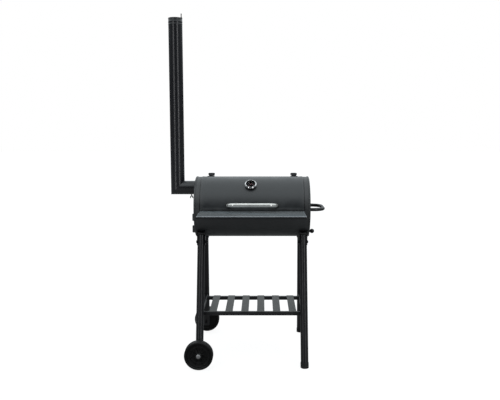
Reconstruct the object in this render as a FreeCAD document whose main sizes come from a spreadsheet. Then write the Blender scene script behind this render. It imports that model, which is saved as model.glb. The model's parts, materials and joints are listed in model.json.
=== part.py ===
import FreeCAD, Part
import Sketcher
import math, os

# Barrel smoker: a horizontal steel barrel with a front lid on two rear hinges, a tall mitred side
# chimney, a front shelf, four splayed tube legs (two on wheels) and a slatted lower shelf.
# Working frame while modelling: X to the right along the barrel, Y to the rear, Z up, floor at Z = 0,
# barrel axis above X = Y = 0. originX and originY shift it so that the origin is below the box centre.

V = FreeCAD.Vector
DOC = FreeCAD.newDocument("barrel_smoker")
SHEET = DOC.addObject("Spreadsheet::Sheet", "Dims")

ROWS = [
    ("originX", 26.9, "shift of the barrel centre from the origin, X"),
    ("originY", 16.5, "shift of the barrel centre from the origin, Y"),
    ("drumZ", 814, "height of the barrel axis"),
    ("drumOuter", 164.5, "outer radius of the barrel shell"),
    ("drumWall", 1.8, "sheet thickness of the barrel"),
    ("drumLen", 608, "length of the barrel shell between the caps"),
    ("capOuter", 167, "outer radius of the end caps"),
    ("capFace", 310, "distance of the cap faces from the middle"),
    ("capWall", 2, "sheet thickness of the end caps"),
    ("capDepth", 9.5, "depth of the cap flange"),
    ("lidInner", 165.0, "inner radius of the lid"),
    ("lidWall", 1.8, "sheet thickness of the lid"),
    ("lidLen", 550, "length of the lid"),
    ("lidAngle", 108, "arc covered by the lid"),
    ("mouthLen", 524, "length of the opening under the lid"),
    ("hingeX", 230, "distance of the lid hinges from the middle"),
    ("hingeY", 58, "lid hinge axis, to the rear"),
    ("hingeZ", 990, "lid hinge axis, height"),
    ("hingePin", 3, "radius of the lid hinge pins"),
    ("pipeOuter", 37.5, "outer radius of the chimney pipe"),
    ("pipeInner", 36, "inner radius of the chimney pipe"),
    ("collarOuter", 35.5, "outer radius of the chimney collar"),
    ("flueZ", 919, "height of the horizontal flue axis"),
    ("stackX", 412, "distance of the stack axis to the left"),
    ("stackTop", 1827.5, "height of the stack's upper rim"),
    ("flapR", 38.2, "radius of the chimney flap"),
    ("flapPin", 2.5, "radius of the chimney flap pin"),
    ("flapOff", 32, "distance of the flap pin from the stack axis"),
    ("shelfZ", 810, "height of the front shelf's top"),
    ("shelfHalf", 275.5, "half width of the front shelf"),
    ("shelfBack", 167.5, "rear edge of the front shelf"),
    ("shelfFront", 366, "front edge of the front shelf"),
    ("shelfLip", 14, "height of the folded lips of the shelf"),
    ("shelfWall", 1.5, "sheet thickness of the shelf"),
    ("gripR", 10.5, "tube radius of the lid handle"),
    ("gripHalf", 126, "half spacing of the lid handle's ends"),
    ("gripRise", 45.4, "rise of the lid handle above its rosettes"),
    ("sideR", 9.25, "tube radius of the side handle"),
    ("sideHalf", 97, "half spacing of the side handle's ends"),
    ("sideRise", 74.75, "rise of the side handle above its flanges"),
    ("legX", 276, "front legs at the floor, distance from the middle"),
    ("legTopX", 274, "front legs at the top, distance from the middle"),
    ("legXrear", 288, "rear legs at the floor, distance from the middle"),
    ("legTopXrear", 276.5, "rear legs at the top, distance from the middle"),
    ("legTopZ", 672, "height of the legs' upper ends"),
    ("barX", 280, "distance of the side bars from the middle"),
    ("axleX", 275.8, "front wheel axis, distance from the middle"),
    ("axleXrear", 286.7, "rear wheel axis, distance from the middle"),
    ("legR", 20, "outer radius of the leg tubes"),
    ("legWall", 1.6, "wall of the leg tubes"),
    ("footY", 283, "distance of the leg axes from the middle at the floor"),
    ("boltY", 122.5, "leg cross bolt, distance from the middle"),
    ("boltZ", 638, "leg cross bolt, height"),
    ("railY", 150, "distance of the lower shelf rails from the middle"),
    ("railTop", 261, "top of the lower shelf rails"),
    ("railTall", 21, "height of the lower shelf rails"),
    ("railWide", 20, "width of the lower shelf rails"),
    ("slatWide", 40.5, "width of a slat"),
    ("slatPitch", 86, "pitch of the slats"),
    ("slatLong", 320, "length of a slat"),
    ("slatThick", 2, "thickness of a slat"),
    ("wheelR", 75, "wheel radius"),
    ("axleR", 5, "axle radius"),
    ("axleHalf", 331, "outer end of a stub axle, distance from the middle"),
    ("axleIn", 240.5, "inner nut face of a stub axle, distance from the middle"),
    ("wheelBore", 5.05, "bore radius of the wheels"),
    ("dialTilt", 42, "angle of the thermometer from the top"),
    ("doorPinR", 3, "radius of the ash door hinge pins"),
    ("doorHingeX", 319.7, "ash door hinge axis, to the left"),
    ("doorHingeY", 70, "ash door hinge axis, to the front"),
    ("ballR", 12.5, "radius of the damper's ball knob"),
    ("damperZ", 676, "height of the damper centre"),
    ("grateZ", 797, "underside of the cooking grates"),
    ("trayZ", 712, "underside of the charcoal tray"),
]
VAL = {}
for row, (alias, value, note) in enumerate(ROWS, 1):
    SHEET.set("A%d" % row, note)
    SHEET.set("B%d" % row, str(value))
    SHEET.setAlias("B%d" % row, alias)
    VAL[alias] = float(value)
DOC.recompute()


class Dim:
    """A length that keeps both its value and the sheet formula it comes from."""

    def __init__(self, v, t):
        self.v, self.t = float(v), t

    def __add__(self, o):
        o = lift(o)
        return Dim(self.v + o.v, "(%s + %s)" % (self.t, o.t))

    def __sub__(self, o):
        o = lift(o)
        return Dim(self.v - o.v, "(%s - %s)" % (self.t, o.t))

    def __mul__(self, o):
        o = lift(o)
        return Dim(self.v * o.v, "(%s * %s)" % (self.t, o.t))

    def __radd__(self, o):
        return lift(o) + self

    def __rsub__(self, o):
        return lift(o) - self

    def __rmul__(self, o):
        return lift(o) * self

    def __neg__(self):
        return lift(0) - self


def lift(x):
    return x if isinstance(x, Dim) else Dim(x, "(%.6f)" % float(x))


def dim(alias):
    return Dim(VAL[alias], "Dims." + alias)


def bind(obj, prop, x):
    x = lift(x)
    setattr(obj, prop, x.v)
    if "Dims." in x.t:
        obj.setExpression(prop, x.t)


def axes(xd, yd, zd):
    return FreeCAD.Rotation(V(*xd), V(*yd), V(*zd), "ZXY")


RIGHT = axes((0, 1, 0), (0, 0, 1), (1, 0, 0))      # local z to +X
LEFT = axes((0, -1, 0), (0, 0, 1), (-1, 0, 0))     # local z to -X
FRONT = axes((1, 0, 0), (0, 0, 1), (0, -1, 0))     # local z to -Y
BACK = axes((-1, 0, 0), (0, 0, 1), (0, 1, 0))      # local z to +Y
DOWN = axes((1, 0, 0), (0, -1, 0), (0, 0, -1))     # local z to -Z


def radial(phi):
    """Local z straight out of the barrel, phi degrees from the top towards the front."""
    a = math.radians(phi)
    return axes((1, 0, 0), (0, math.cos(a), math.sin(a)), (0, -math.sin(a), math.cos(a)))


def on_drum(phi, r, x=0):
    a = math.radians(phi)
    r = lift(r)
    return (x, r * (-math.sin(a)), dim("drumZ") + r * math.cos(a))


def at(o, x=0, y=0, z=0, rot=None, shift=False):
    x, y, z = lift(x), lift(y), lift(z)
    if shift:
        x, y = x + dim("originX"), y + dim("originY")
    o.Placement = FreeCAD.Placement(V(x.v, y.v, z.v), rot or FreeCAD.Rotation())
    for ax, q in (("x", x), ("y", y), ("z", z)):
        if "Dims." in q.t:
            o.setExpression(".Placement.Base." + ax, q.t)
    return o


NODES = []


def node(o, name, x=0, y=0, z=0, rot=None):
    at(o, x, y, z, rot, shift=True)
    o.Label = name
    NODES.append(o)
    return o


# ---- solid primitives ----------------------------------------------------------------------
def box(name, lx, ly, lz, x=0, y=0, z=0, rot=None):
    o = DOC.addObject("Part::Box", name)
    bind(o, "Length", lx)
    bind(o, "Width", ly)
    bind(o, "Height", lz)
    return at(o, x, y, z, rot)


def cbox(name, lx, ly, lz, x=0, y=0, z=0):
    """Box centred on x and y, standing on z."""
    return box(name, lx, ly, lz, lift(x) - lift(lx) * 0.5, lift(y) - lift(ly) * 0.5, z)


def cyl(name, r, length, x=0, y=0, z=0, rot=None, angle=360):
    o = DOC.addObject("Part::Cylinder", name)
    bind(o, "Radius", r)
    bind(o, "Height", length)
    o.Angle = angle
    return at(o, x, y, z, rot)


def hexa(name, r, length, x=0, y=0, z=0, rot=None):
    o = DOC.addObject("Part::Prism", name)
    o.Polygon = 6
    bind(o, "Circumradius", r)
    bind(o, "Height", length)
    return at(o, x, y, z, rot)


def cut(name, a, b):
    o = DOC.addObject("Part::Cut", name)
    o.Base, o.Tool = a, b
    return o


def fuse(name, *parts):
    o = DOC.addObject("Part::MultiFuse", name)
    o.Shapes = list(parts)
    return o


def common(name, *parts):
    o = DOC.addObject("Part::MultiCommon", name)
    o.Shapes = list(parts)
    return o


def group(name, parts):
    o = DOC.addObject("Part::Compound", name)
    o.Links = list(parts)
    return o


def sector(name, r, wall, length, phi0, phi1, x0):
    """Curved strip on the barrel from phi0 to phi1 (phi0 the rear one), starting at x0."""
    a = math.radians(phi0)
    start = V(0, -math.sin(a), math.cos(a))
    rot = FreeCAD.Rotation(start, V(1, 0, 0).cross(start), V(1, 0, 0), "ZXY")
    z = dim("drumZ")
    outer = cyl(name + "_o", lift(r) + wall, length, x0, 0, z, rot, angle=phi1 - phi0)
    inner = cyl(name + "_i", r, length, x0, 0, z, rot, angle=phi1 - phi0)
    return cut(name, outer, inner)


def drum_tool(name, r, length, x0):
    return cyl(name, r, length, x0, 0, dim("drumZ"), RIGHT)


# ---- bodies from sketches ------------------------------------------------------------------
def body(name):
    return DOC.addObject("PartDesign::Body", name)


def sketch(b, plane):
    s = b.newObject("Sketcher::SketchObject", b.Name + "_sk")
    for f in b.Origin.OriginFeatures:
        if f.Role == plane:
            s.AttachmentSupport = [(f, "")]
    s.MapMode = "FlatFace"
    return s


def fix(s, g, pos, x, y):
    for q, kind, line in ((lift(x), "DistanceX", -2), (lift(y), "DistanceY", -1)):
        if abs(q.v) < 1e-9:
            s.addConstraint(Sketcher.Constraint("PointOnObject", g, pos, line))
        else:
            c = s.addConstraint(Sketcher.Constraint(kind, -1, 1, g, pos, q.v))
            if "Dims." in q.t:
                s.setExpression("Constraints[%d]" % c, q.t)


def poly(s, pts):
    base, n = s.GeometryCount, len(pts)
    val = [(lift(x).v, lift(y).v) for x, y in pts]
    for i in range(n):
        p, q = val[i], val[(i + 1) % n]
        s.addGeometry(Part.LineSegment(V(p[0], p[1], 0), V(q[0], q[1], 0)))
    for i in range(n):
        s.addConstraint(Sketcher.Constraint("Coincident", base + i, 2, base + (i + 1) % n, 1))
    for i, (x, y) in enumerate(pts):
        fix(s, base + i, 1, x, y)


def circle(s, x, y, r):
    r = lift(r)
    g = s.addGeometry(Part.Circle(V(lift(x).v, lift(y).v, 0), V(0, 0, 1), r.v))
    c = s.addConstraint(Sketcher.Constraint("Radius", g, r.v))
    if "Dims." in r.t:
        s.setExpression("Constraints[%d]" % c, r.t)
    if abs(lift(x).v) < 1e-9 and abs(lift(y).v) < 1e-9:
        s.addConstraint(Sketcher.Constraint("Coincident", g, 3, -1, 1))
    else:
        fix(s, g, 3, x, y)


def pad(b, s, length, mid=False, rev=False):
    p = b.newObject("PartDesign::Pad", b.Name + "_pad")
    p.Profile = s
    bind(p, "Length", length)
    if mid:
        p.SideType = "Symmetric"
    p.Reversed = rev
    b.Tip = p
    return p


def pocket(b, s, length, mid=False):
    """Cuts a sketch out of a body, and turns round if it would cut nothing."""
    DOC.recompute()
    before = b.Shape.Volume
    p = b.newObject("PartDesign::Pocket", b.Name + "_pocket")
    p.Profile = s
    bind(p, "Length", length)
    if mid:
        p.SideType = "Symmetric"
    b.Tip = p
    DOC.recompute()
    if b.Shape.Volume > before - 1e-3:
        p.Reversed = True
        DOC.recompute()
    if b.Shape.Volume > before - 1e-3:
        raise RuntimeError("pocket cuts nothing in " + b.Name)
    return p


def ring(name, ro, ri, length):
    b = body(name)
    s = sketch(b, "XY_Plane")
    circle(s, 0, 0, ro)
    if ri is not None:
        circle(s, 0, 0, ri)
    pad(b, s, length)
    return b


def lathe(name, pts):
    b = body(name)
    s = sketch(b, "XZ_Plane")
    poly(s, pts)
    r = b.newObject("PartDesign::Revolution", name + "_rev")
    r.Profile = s
    r.ReferenceAxis = (s, ["V_Axis"])
    r.Angle = 360
    b.Tip = r
    return b


def prism(name, plane, pts, length, mid=True):
    b = body(name)
    s = sketch(b, plane)
    poly(s, pts)
    pad(b, s, length, mid)
    return b


def round_edges(b, test, radius):
    DOC.recompute()
    tip = b.Tip
    names = ["Edge%d" % (i + 1) for i, e in enumerate(tip.Shape.Edges) if test(e)]
    if not names:
        raise RuntimeError("no edge to round in " + b.Name)
    f = b.newObject("PartDesign::Fillet", b.Name + "_fillet")
    f.Base = (tip, names)
    f.Radius = radius
    b.Tip = f
    return f


def is_ring(e, r, z):
    c = e.Curve
    return isinstance(c, Part.Circle) and abs(c.Radius - r) < 0.01 and abs(c.Center.z - z) < 0.01


def loop_tube(name, half, rise, bend, ro, ri):
    """Bent tube handle: two legs up from z = 0 and a bar across, in the local XZ plane."""
    half, rise = lift(half), lift(rise)
    b = body(name)
    path = sketch(b, "XZ_Plane")
    hv, rv = half.v, rise.v
    up = [V(-hv, 0, 0), V(-hv, rv - bend, 0), V(-hv + bend, rv, 0), V(hv - bend, rv, 0),
          V(hv, rv - bend, 0), V(hv, 0, 0)]
    k = bend * math.sqrt(0.5)
    path.addGeometry(Part.LineSegment(up[0], up[1]))
    path.addGeometry(Part.Arc(up[1], V(-hv + bend - k, rv - bend + k, 0), up[2]))
    path.addGeometry(Part.LineSegment(up[2], up[3]))
    path.addGeometry(Part.Arc(up[3], V(hv - bend + k, rv - bend + k, 0), up[4]))
    path.addGeometry(Part.LineSegment(up[4], up[5]))
    prof = sketch(b, "XY_Plane")
    circle(prof, -half, 0, ro)
    circle(prof, -half, 0, ri)
    p = b.newObject("PartDesign::AdditivePipe", name + "_pipe")
    p.Profile = prof
    p.Spine = (path, ["Edge1", "Edge2", "Edge3", "Edge4", "Edge5"])
    b.Tip = p
    return b


def holes(name, items):
    """Through holes as one tool: items of (r, length, x, y, z, rot), each centred on its point."""
    out = []
    for i, (r, length, x, y, z, rot) in enumerate(items):
        d = rot.multVec(V(0, 0, 1)) * (-length / 2.0)
        out.append(cyl("%s_%d" % (name, i), r, length, lift(x) + d.x, lift(y) + d.y, lift(z) + d.z, rot))
    return group(name, out)


def bolt(name, head_r, head_t, r, length, x, y, z, rot, hexed=True):
    """Screw whose head stands on the point and whose shank runs back from it."""
    head = (hexa if hexed else cyl)(name + "_h", head_r, head_t)
    shank = cyl(name + "_s", r, length, 0, 0, -length)
    return at(fuse(name, head, shank), x, y, z, rot)


def nut(name, nut_r, nut_t, r, x, y, z, rot):
    return at(cut(name, hexa(name + "_h", nut_r, nut_t), cyl(name + "_b", r, nut_t + 2, 0, 0, -1)), x, y, z, rot)


drumZ, drumOuter = dim("drumZ"), dim("drumOuter")
lidOuter = dim("lidInner") + dim("lidWall")
ID = FreeCAD.Rotation()

# ---- barrel shell --------------------------------------------------------------------------
b = body("barrel_blank")
s = sketch(b, "YZ_Plane")
circle(s, 0, drumZ, drumOuter)
circle(s, 0, drumZ, drumOuter - dim("drumWall"))
pad(b, s, dim("drumLen"), mid=True)
s = sketch(b, "YZ_Plane")
rear, front = math.radians(12), math.radians(86)
poly(s, [(0, drumZ), (260 * math.sin(rear), drumZ + 260 * math.cos(rear)), (0, drumZ + 330),
         (-330, drumZ + 330), (-330 * math.sin(front), drumZ + 330 * math.cos(front))])
pocket(b, s, dim("mouthLen"), mid=True)
barrel_holes = []
for hx in (-1, 1):
    for phi in (-25.5, -30.5):
        x, y, z = on_drum(phi, 163.6, dim("hingeX") * hx)
        barrel_holes.append((2.2, 12, x, y, z, radial(phi)))
node(cut("barrel_cut", b, holes("barrel_holes", barrel_holes)), "barrel_shell")

# ---- end caps ------------------------------------------------------------------------------
face, depth, wall = dim("capFace"), dim("capDepth"), dim("capWall")


def end_cap(name):
    c = lathe(name, [(0, -wall), (dim("capOuter") - 2.3, -wall), (dim("capOuter") - 2.3, -depth),
                     (dim("capOuter"), -depth), (dim("capOuter"), 0), (0, 0)])
    round_edges(c, lambda e: is_ring(e, 167, 0), 6)
    round_edges(c, lambda e: is_ring(e, 164.7, -2), 3.8)
    return c


cap = end_cap("end_cap_left_b")
s = sketch(cap, "XY_Plane")
circle(s, 0, dim("flueZ") - drumZ, dim("collarOuter") + 0.1)
pocket(cap, s, 8)
s = sketch(cap, "XY_Plane")
poly(s, [(-58, -121), (56, -121), (56, -42), (-58, -42)])
pocket(cap, s, 8)
node(cap, "end_cap_left", -face, 0, drumZ, LEFT)

cap = end_cap("end_cap_right_b")
for sgn in (-1, 1):
    s = sketch(cap, "XY_Plane")
    circle(s, dim("sideHalf") * sgn, -5, 4.2)
    pocket(cap, s, 8)
    s = sketch(cap, "XY_Plane")
    circle(s, 0, dim("damperZ") - drumZ + 22 * sgn, 2.6)
    pocket(cap, s, 8)
s = sketch(cap, "XY_Plane")
circle(s, 0, dim("damperZ") - drumZ, dim("doorPinR") + 0.05)
pocket(cap, s, 8)


def port_tool(name, x, y, z, rot, first, length=12):
    """Three pie-shaped air ports around the local z axis."""
    parts = []
    for k in range(3):
        a = math.radians(first + 120 * k)
        r = FreeCAD.Rotation(V(math.cos(a), math.sin(a), 0), V(-math.sin(a), math.cos(a), 0), V(0, 0, 1), "ZXY")
        o = cyl("%s_o%d" % (name, k), 13.5, length, 0, 0, -length / 2.0, r, angle=52)
        i = cyl("%s_i%d" % (name, k), 6, length, 0, 0, -length / 2.0, r, angle=52)
        parts.append(cut("%s_c%d" % (name, k), o, i))
    return at(group(name, parts), x, y, z, rot)


at(cap, face, 0, drumZ, RIGHT)
node(cut("end_cap_right_c", cap, port_tool("ports_cap", face, 0, dim("damperZ"), RIGHT, 0)), "end_cap_right")

# ---- chimney -------------------------------------------------------------------------------
po, pi, co = dim("pipeOuter"), dim("pipeInner"), dim("collarOuter")
node(lathe("chimney_collar_b", [(co - 1.5, -6), (co, -6), (co, 0.1), (39, 0.1), (39, 2.1), (co, 2.1),
                                (co, 44), (co - 1.5, 44)]),
     "chimney_collar", -face, 0, dim("flueZ"), LEFT)

elbow_len = dim("stackX") + po - face - 3
b = ring("chimney_elbow_b", po, pi, elbow_len)
s = sketch(b, "YZ_Plane")
poly(s, [(-po - 6, elbow_len + 6), (po + 6, elbow_len - po * 2 - 6), (po + 6, elbow_len + 6)])
pocket(b, s, 200, mid=True)
s = sketch(b, "XZ_Plane")
circle(s, 0, 24, 2.8)
DOC.recompute()
vol = b.Shape.Volume
p = b.newObject("PartDesign::Pocket", "wing_hole")
p.Profile, p.Length, p.Reversed = s, 60, False
b.Tip = p
DOC.recompute()
cut_low = any(abs(v.Point.y + 37.5) < 0.8 and abs(v.Point.z - 24) < 4 for v in b.Shape.Vertexes)
if b.Shape.Volume > vol - 1 or not cut_low:
    p.Reversed = True
    DOC.recompute()
node(b, "chimney_elbow", -face - 3, 0, dim("flueZ"), LEFT)

base_z = dim("flueZ") - po
tall = dim("stackTop") - base_z
b = lathe("chimney_stack_b", [(pi, 0), (po, 0), (po, tall - 33), (po + 0.8, tall - 31.8), (po + 0.8, tall - 30.2),
                              (po, tall - 29), (po, tall - 20), (po + 0.8, tall - 18.8), (po + 0.8, tall - 17.2),
                              (po, tall - 16), (po, tall), (pi, tall)])
s = sketch(b, "XZ_Plane")
poly(s, [(-po - 6, -6), (po + 6, -6), (po + 6, po * 2 + 6)])
pocket(b, s, 200, mid=True)
node(b, "chimney_stack", -dim("stackX"), 0, base_z)

b = ring("chimney_flap_b", dim("flapR"), None, 2)
s = sketch(b, "XY_Plane")
circle(s, dim("flapOff"), 0, dim("flapPin") + 0.06)
pocket(b, s, 8, mid=True)
round_edges(b, lambda e: is_ring(e, 38.2, 2), 0.8)
node(b, "chimney_flap", -dim("stackX"), 0, dim("stackTop") + 0.5)

pin_x = -dim("stackX") + dim("flapOff")
node(fuse("flap_pin_f", cyl("flap_pin_a", dim("flapPin"), 46, 0, 0, -20.5),
          hexa("flap_pin_n", 4.8, 3.5, 0, 0, 3.0), cyl("flap_pin_c", 3.2, 2, 0, 0, 23.5)),
     "chimney_flap_pin", pin_x, 0, dim("stackTop"))
node(cut("flap_lug_c", box("flap_lug_b", 10, 12, 10, -6.6, -6, -21.5),
         cyl("flap_lug_h", dim("flapPin") + 0.06, 30, 0, 0, -30)),
     "chimney_flap_lug", pin_x, 0, dim("stackTop"))

wing = prism("wing_b", "XZ_Plane", [(-4, -6), (4, -6), (9, -14), (9.5, -21), (5.5, -22.5), (0, -11),
                                    (-5.5, -22.5), (-9.5, -21), (-9, -14)], 2.6)
node(fuse("wing_f", wing, cyl("wing_s", 2.5, 13.5, 0, 0, -11.7), cyl("wing_n", 4.6, 6, 0, 0, -9)),
     "chimney_wing_screw", -337, 0, base_z)

# ---- lid -----------------------------------------------------------------------------------
lid = sector("lid_sheet", dim("lidInner"), dim("lidWall"), dim("lidLen"), -18, 90, dim("lidLen") * -0.5)
lid_holes = []
x, y, z = on_drum(dim("dialTilt").v, 165.9, -7.5)
lid_holes.append((4.3, 16, x, y, z, radial(42)))
for sgn in (-1, 1):
    x, y, z = on_drum(81.3, 165.9, dim("gripHalf") * sgn)
    lid_holes.append((3.2, 12, x, y, z, radial(81.3)))
    for phi in (-5, -9.5):
        x, y, z = on_drum(phi, 165.9, dim("hingeX") * sgn)
        lid_holes.append((2.2, 12, x, y, z, radial(phi)))
node(cut("lid_cut", lid, holes("lid_holes", lid_holes)), "lid_panel")

# lid hinges: outer ears and leaf on the barrel, inner ears and leaf on the lid, one pin each
hy, hz, hp = dim("hingeY"), dim("hingeZ"), dim("hingePin")
lid_leaves, drum_leaves, pins, lid_screws, drum_screws = [], [], [], [], []
for sgn, tag in ((-1, "l"), (1, "r")):
    hx = dim("hingeX") * sgn
    ears = []
    for k, off in ((0, -9.5), (1, 9.5)):
        e = prism("lid_ear_%s%d" % (tag, k), "YZ_Plane",
                  [(hy - 7, hz), (hy - 4.5, hz + 5.3), (hy + 1, hz + 6.9), (hy + 5.6, hz + 4), (hy + 6.8, hz - 1.5),
                   (hy + 3, hz - 6.2), (hy - 7, hz - 9), (hy - 8.5, hz - 26), (hy - 36, hz - 20), (hy - 36, hz - 11),
                   (hy - 26, hz - 7)], 3)
        ears.append(at(e, hx + off))
    lug = prism("lid_lug_" + tag, "YZ_Plane",
                [(hy - 7, hz), (hy - 4.5, hz + 5.3), (hy + 1, hz + 6.9), (hy + 5.6, hz + 4), (hy + 6.8, hz - 1.5),
                 (hy + 3, hz - 6.2), (hy - 7, hz - 9), (hy - 8.5, hz - 26), (hy - 23, hz - 23), (hy - 20, hz - 7)], 17)
    ears.append(at(lug, hx))
    leaf = sector("lid_leaf_" + tag, lidOuter + 0.1, 2, 40, -17.3, -2, hx - 20)
    blank = fuse("lid_hinge_b" + tag, leaf, *ears)
    tools = [drum_tool("lid_hinge_t" + tag, lidOuter + 0.1, 60, hx - 30),
             cyl("lid_hinge_p" + tag, hp + 0.07, 60, hx - 30, hy, hz, RIGHT)]
    for phi in (-5, -9.5):
        x, y, z = on_drum(phi, 168, hx)
        tools.append(holes("lid_hinge_h%s%d" % (tag, int(-phi)), [(2.2, 16, x, y, z, radial(phi))]))
        x, y, z = on_drum(phi, 169.0, hx)
        lid_screws.append(bolt("ls%s%d" % (tag, int(-phi)), 3.8, 2.6, 2, 9, x, y, z, radial(phi), hexed=False))
        x, y, z = on_drum(phi, 162.0, hx)
        lid_screws.append(nut("ln%s%d" % (tag, int(-phi)), 4, 2.6, 2.1, x, y, z, radial(phi)))
    lid_leaves.append(cut("lid_hinge_c" + tag, blank, group("lid_hinge_g" + tag, tools)))
    ears = []
    for k, off in ((0, -13.5), (1, 13.5)):
        e = prism("drum_ear_%s%d" % (tag, k), "YZ_Plane",
                  [(hy - 7, hz), (hy - 4.5, hz + 5.3), (hy + 1, hz + 6.9), (hy + 6, hz + 4), (hy + 16, hz - 12),
                   (hy + 30, hz - 30), (hy + 30, hz - 45), (hy + 2, hz - 40), (hy + 2, hz - 18), (hy - 5.5, hz - 6)], 3)
        ears.append(at(e, hx + off))
    leaf = sector("drum_leaf_" + tag, drumOuter + 0.1, 2, 40, -33, -21, hx - 20)
    blank = fuse("drum_hinge_b" + tag, leaf, *ears)
    tools = [drum_tool("drum_hinge_t" + tag, drumOuter + 0.1, 60, hx - 30),
             cyl("drum_hinge_p" + tag, hp + 0.03, 60, hx - 30, hy, hz, RIGHT)]
    for phi in (-25.5, -30.5):
        x, y, z = on_drum(phi, 166, hx)
        tools.append(holes("drum_hinge_h%s%d" % (tag, int(-phi)), [(2.2, 16, x, y, z, radial(phi))]))
        x, y, z = on_drum(phi, 166.8, hx)
        drum_screws.append(bolt("ds%s%d" % (tag, int(-phi)), 3.8, 2.6, 2, 9, x, y, z, radial(phi), hexed=False))
        x, y, z = on_drum(phi, 159.8, hx)
        drum_screws.append(nut("dn%s%d" % (tag, int(-phi)), 4, 2.6, 2.1, x, y, z, radial(phi)))
    drum_leaves.append(cut("drum_hinge_c" + tag, blank, group("drum_hinge_g" + tag, tools)))
    pins.append(at(fuse("hinge_pin_" + tag, cyl("hp_a" + tag, hp, 36, 0, 0, -18),
                        cyl("hp_b" + tag, 5, 2.4, 0, 0, -17.6), cyl("hp_c" + tag, 5, 2.4, 0, 0, 15.2)),
                   hx, hy, hz, RIGHT))
node(group("hinge_leaves_lid_g", lid_leaves), "hinge_leaves_lid")
node(group("hinge_leaves_barrel_g", drum_leaves), "hinge_leaves_barrel")
node(group("hinge_pins_g", pins), "hinge_pins")
node(group("hinge_screws_lid_g", lid_screws), "hinge_screws_lid")
node(group("hinge_screws_barrel_g", drum_screws), "hinge_screws_barrel")

# lid handle on two rosettes, screwed from inside the lid
hx, y, z = on_drum(81.3, 169.3, 0)
node(loop_tube("lid_handle_b", dim("gripHalf"), dim("gripRise"), 40, dim("gripR"), dim("gripR") - 1.5),
     "lid_handle", 0, y, z, radial(81.3))
rosettes, screws = [], []
for sgn, tag in ((-1, "l"), (1, "r")):
    x, y, z = on_drum(81.3, 167.0, dim("gripHalf") * sgn)
    r = lathe("rosette_" + tag, [(3.2, 0), (14, 0), (14, 0.8), (12.5, 2.2), (3.2, 2.2)])
    rosettes.append(at(r, x, y, z, radial(81.3)))
    x, y, z = on_drum(81.3, 164.6, dim("gripHalf") * sgn)
    a = math.radians(81.3)
    inward = axes((1, 0, 0), (0, -math.cos(a), -math.sin(a)), (0, math.sin(a), -math.cos(a)))
    screws.append(bolt("grip_screw_" + tag, 6, 3, 3, 16, x, y, z, inward))
node(group("lid_handle_rosettes_g", rosettes), "lid_handle_rosettes")
node(group("lid_handle_screws_g", screws), "lid_handle_screws")

# ---- thermometer ---------------------------------------------------------------------------
tx, ty, tz = on_drum(dim("dialTilt").v, lidOuter, -7.5)
tr = radial(42)
node(lathe("thermo_case_b", [(4.2, 1.2), (27, 1.2), (29, 3.2), (29, 16.8), (27.4, 16.8), (27.4, 3.2), (4.2, 3.2)]),
     "thermometer_case", tx, ty, tz, tr)
node(lathe("thermo_stem_b", [(0, -55), (2.6, -54), (3, -52), (3, -14), (4, -13), (4, 8.8), (0, 8.8)]),
     "thermometer_stem", tx, ty, tz, tr)
node(cut("thermo_nut_c", hexa("thermo_nut_h", 9.5, 5), cyl("thermo_nut_b", 4.15, 8, 0, 0, -1)),
     "thermometer_nut", *on_drum(42, 159.6, -7.5), rot=tr)
node(lathe("thermo_dial_b", [(0, 9), (27, 9), (27, 10), (1.3, 10), (1.3, 13.6), (0, 13.6)]),
     "thermometer_dial", tx, ty, tz, tr)
needle = prism("thermo_needle_p", "XY_Plane", [(-1.6, -8), (1.6, -8), (1.4, 0), (0.4, 20), (-0.4, 20), (-1.4, 0)], 0.8)
at(needle, 0, 0, 12.2, FreeCAD.Rotation(V(0, 0, 1), 130))
node(cut("thermo_needle_c", fuse("thermo_needle_f", needle, cyl("thermo_needle_h", 3.2, 2.2, 0, 0, 11.2)),
         cyl("thermo_needle_b", 1.36, 20)), "thermometer_needle", tx, ty, tz, tr)
node(lathe("thermo_glass_b", [(0, 15), (27.2, 15), (27.2, 16.4), (20, 16.8), (0, 17)]),
     "thermometer_glass", tx, ty, tz, tr)
node(lathe("thermo_bezel_b", [(29.2, 12), (31, 12), (31, 18.6), (29.6, 20.6), (26.2, 20.6), (24.6, 19), (24.6, 17.3),
                              (29.2, 17.3)]), "thermometer_bezel", tx, ty, tz, tr)

# ---- front shelf ---------------------------------------------------------------------------
sf, sb, sh, sw = dim("shelfFront"), dim("shelfBack"), dim("shelfHalf"), dim("shelfWall")
b = body("front_shelf_b")
s = sketch(b, "XY_Plane")
poly(s, [(-sh, -sf), (sh, -sf), (sh, -sb), (-sh, -sb)])
pad(b, s, dim("shelfLip"))
round_edges(b, lambda e: all(abs(v.Point.z - 14) < 0.01 for v in e.Vertexes)
            and (all(abs(v.Point.y + 366) < 0.01 for v in e.Vertexes)
                 or abs(e.Vertexes[0].Point.x - e.Vertexes[-1].Point.x) < 0.01), 1.4)
s = sketch(b, "XY_Plane")
poly(s, [(-sh + sw, -sf + sw), (sh - sw, -sf + sw), (sh - sw, -sb + 5), (-sh + sw, -sb + 5)])
pocket(b, s, dim("shelfLip") - sw)
node(b, "front_shelf", 0, 0, dim("shelfZ") - dim("shelfLip"))

under = dim("shelfZ") - sw - 0.2
brackets, bolts = [], []
for sgn, tag in ((-1, "l"), (1, "r")):
    bx = 215 * sgn
    web = at(prism("bracket_web_" + tag, "YZ_Plane", [(-345, under), (-150, under), (-150, 766), (-172, 766), (-345, 798)], 3), bx)
    top = box("bracket_top_" + tag, 24, 178, 2, bx - 12, -345, under - 2)
    foot = sector("bracket_foot_" + tag, drumOuter + 0.1, 2.5, 40, 92.5, 107, bx - 20)
    blank = fuse("bracket_blank_" + tag, web, top, foot)
    brackets.append(cut("bracket_cut_" + tag, blank, drum_tool("bracket_tool_" + tag, drumOuter + 0.1, 60, bx - 30)))
node(group("shelf_brackets_g", brackets), "shelf_brackets")

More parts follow.
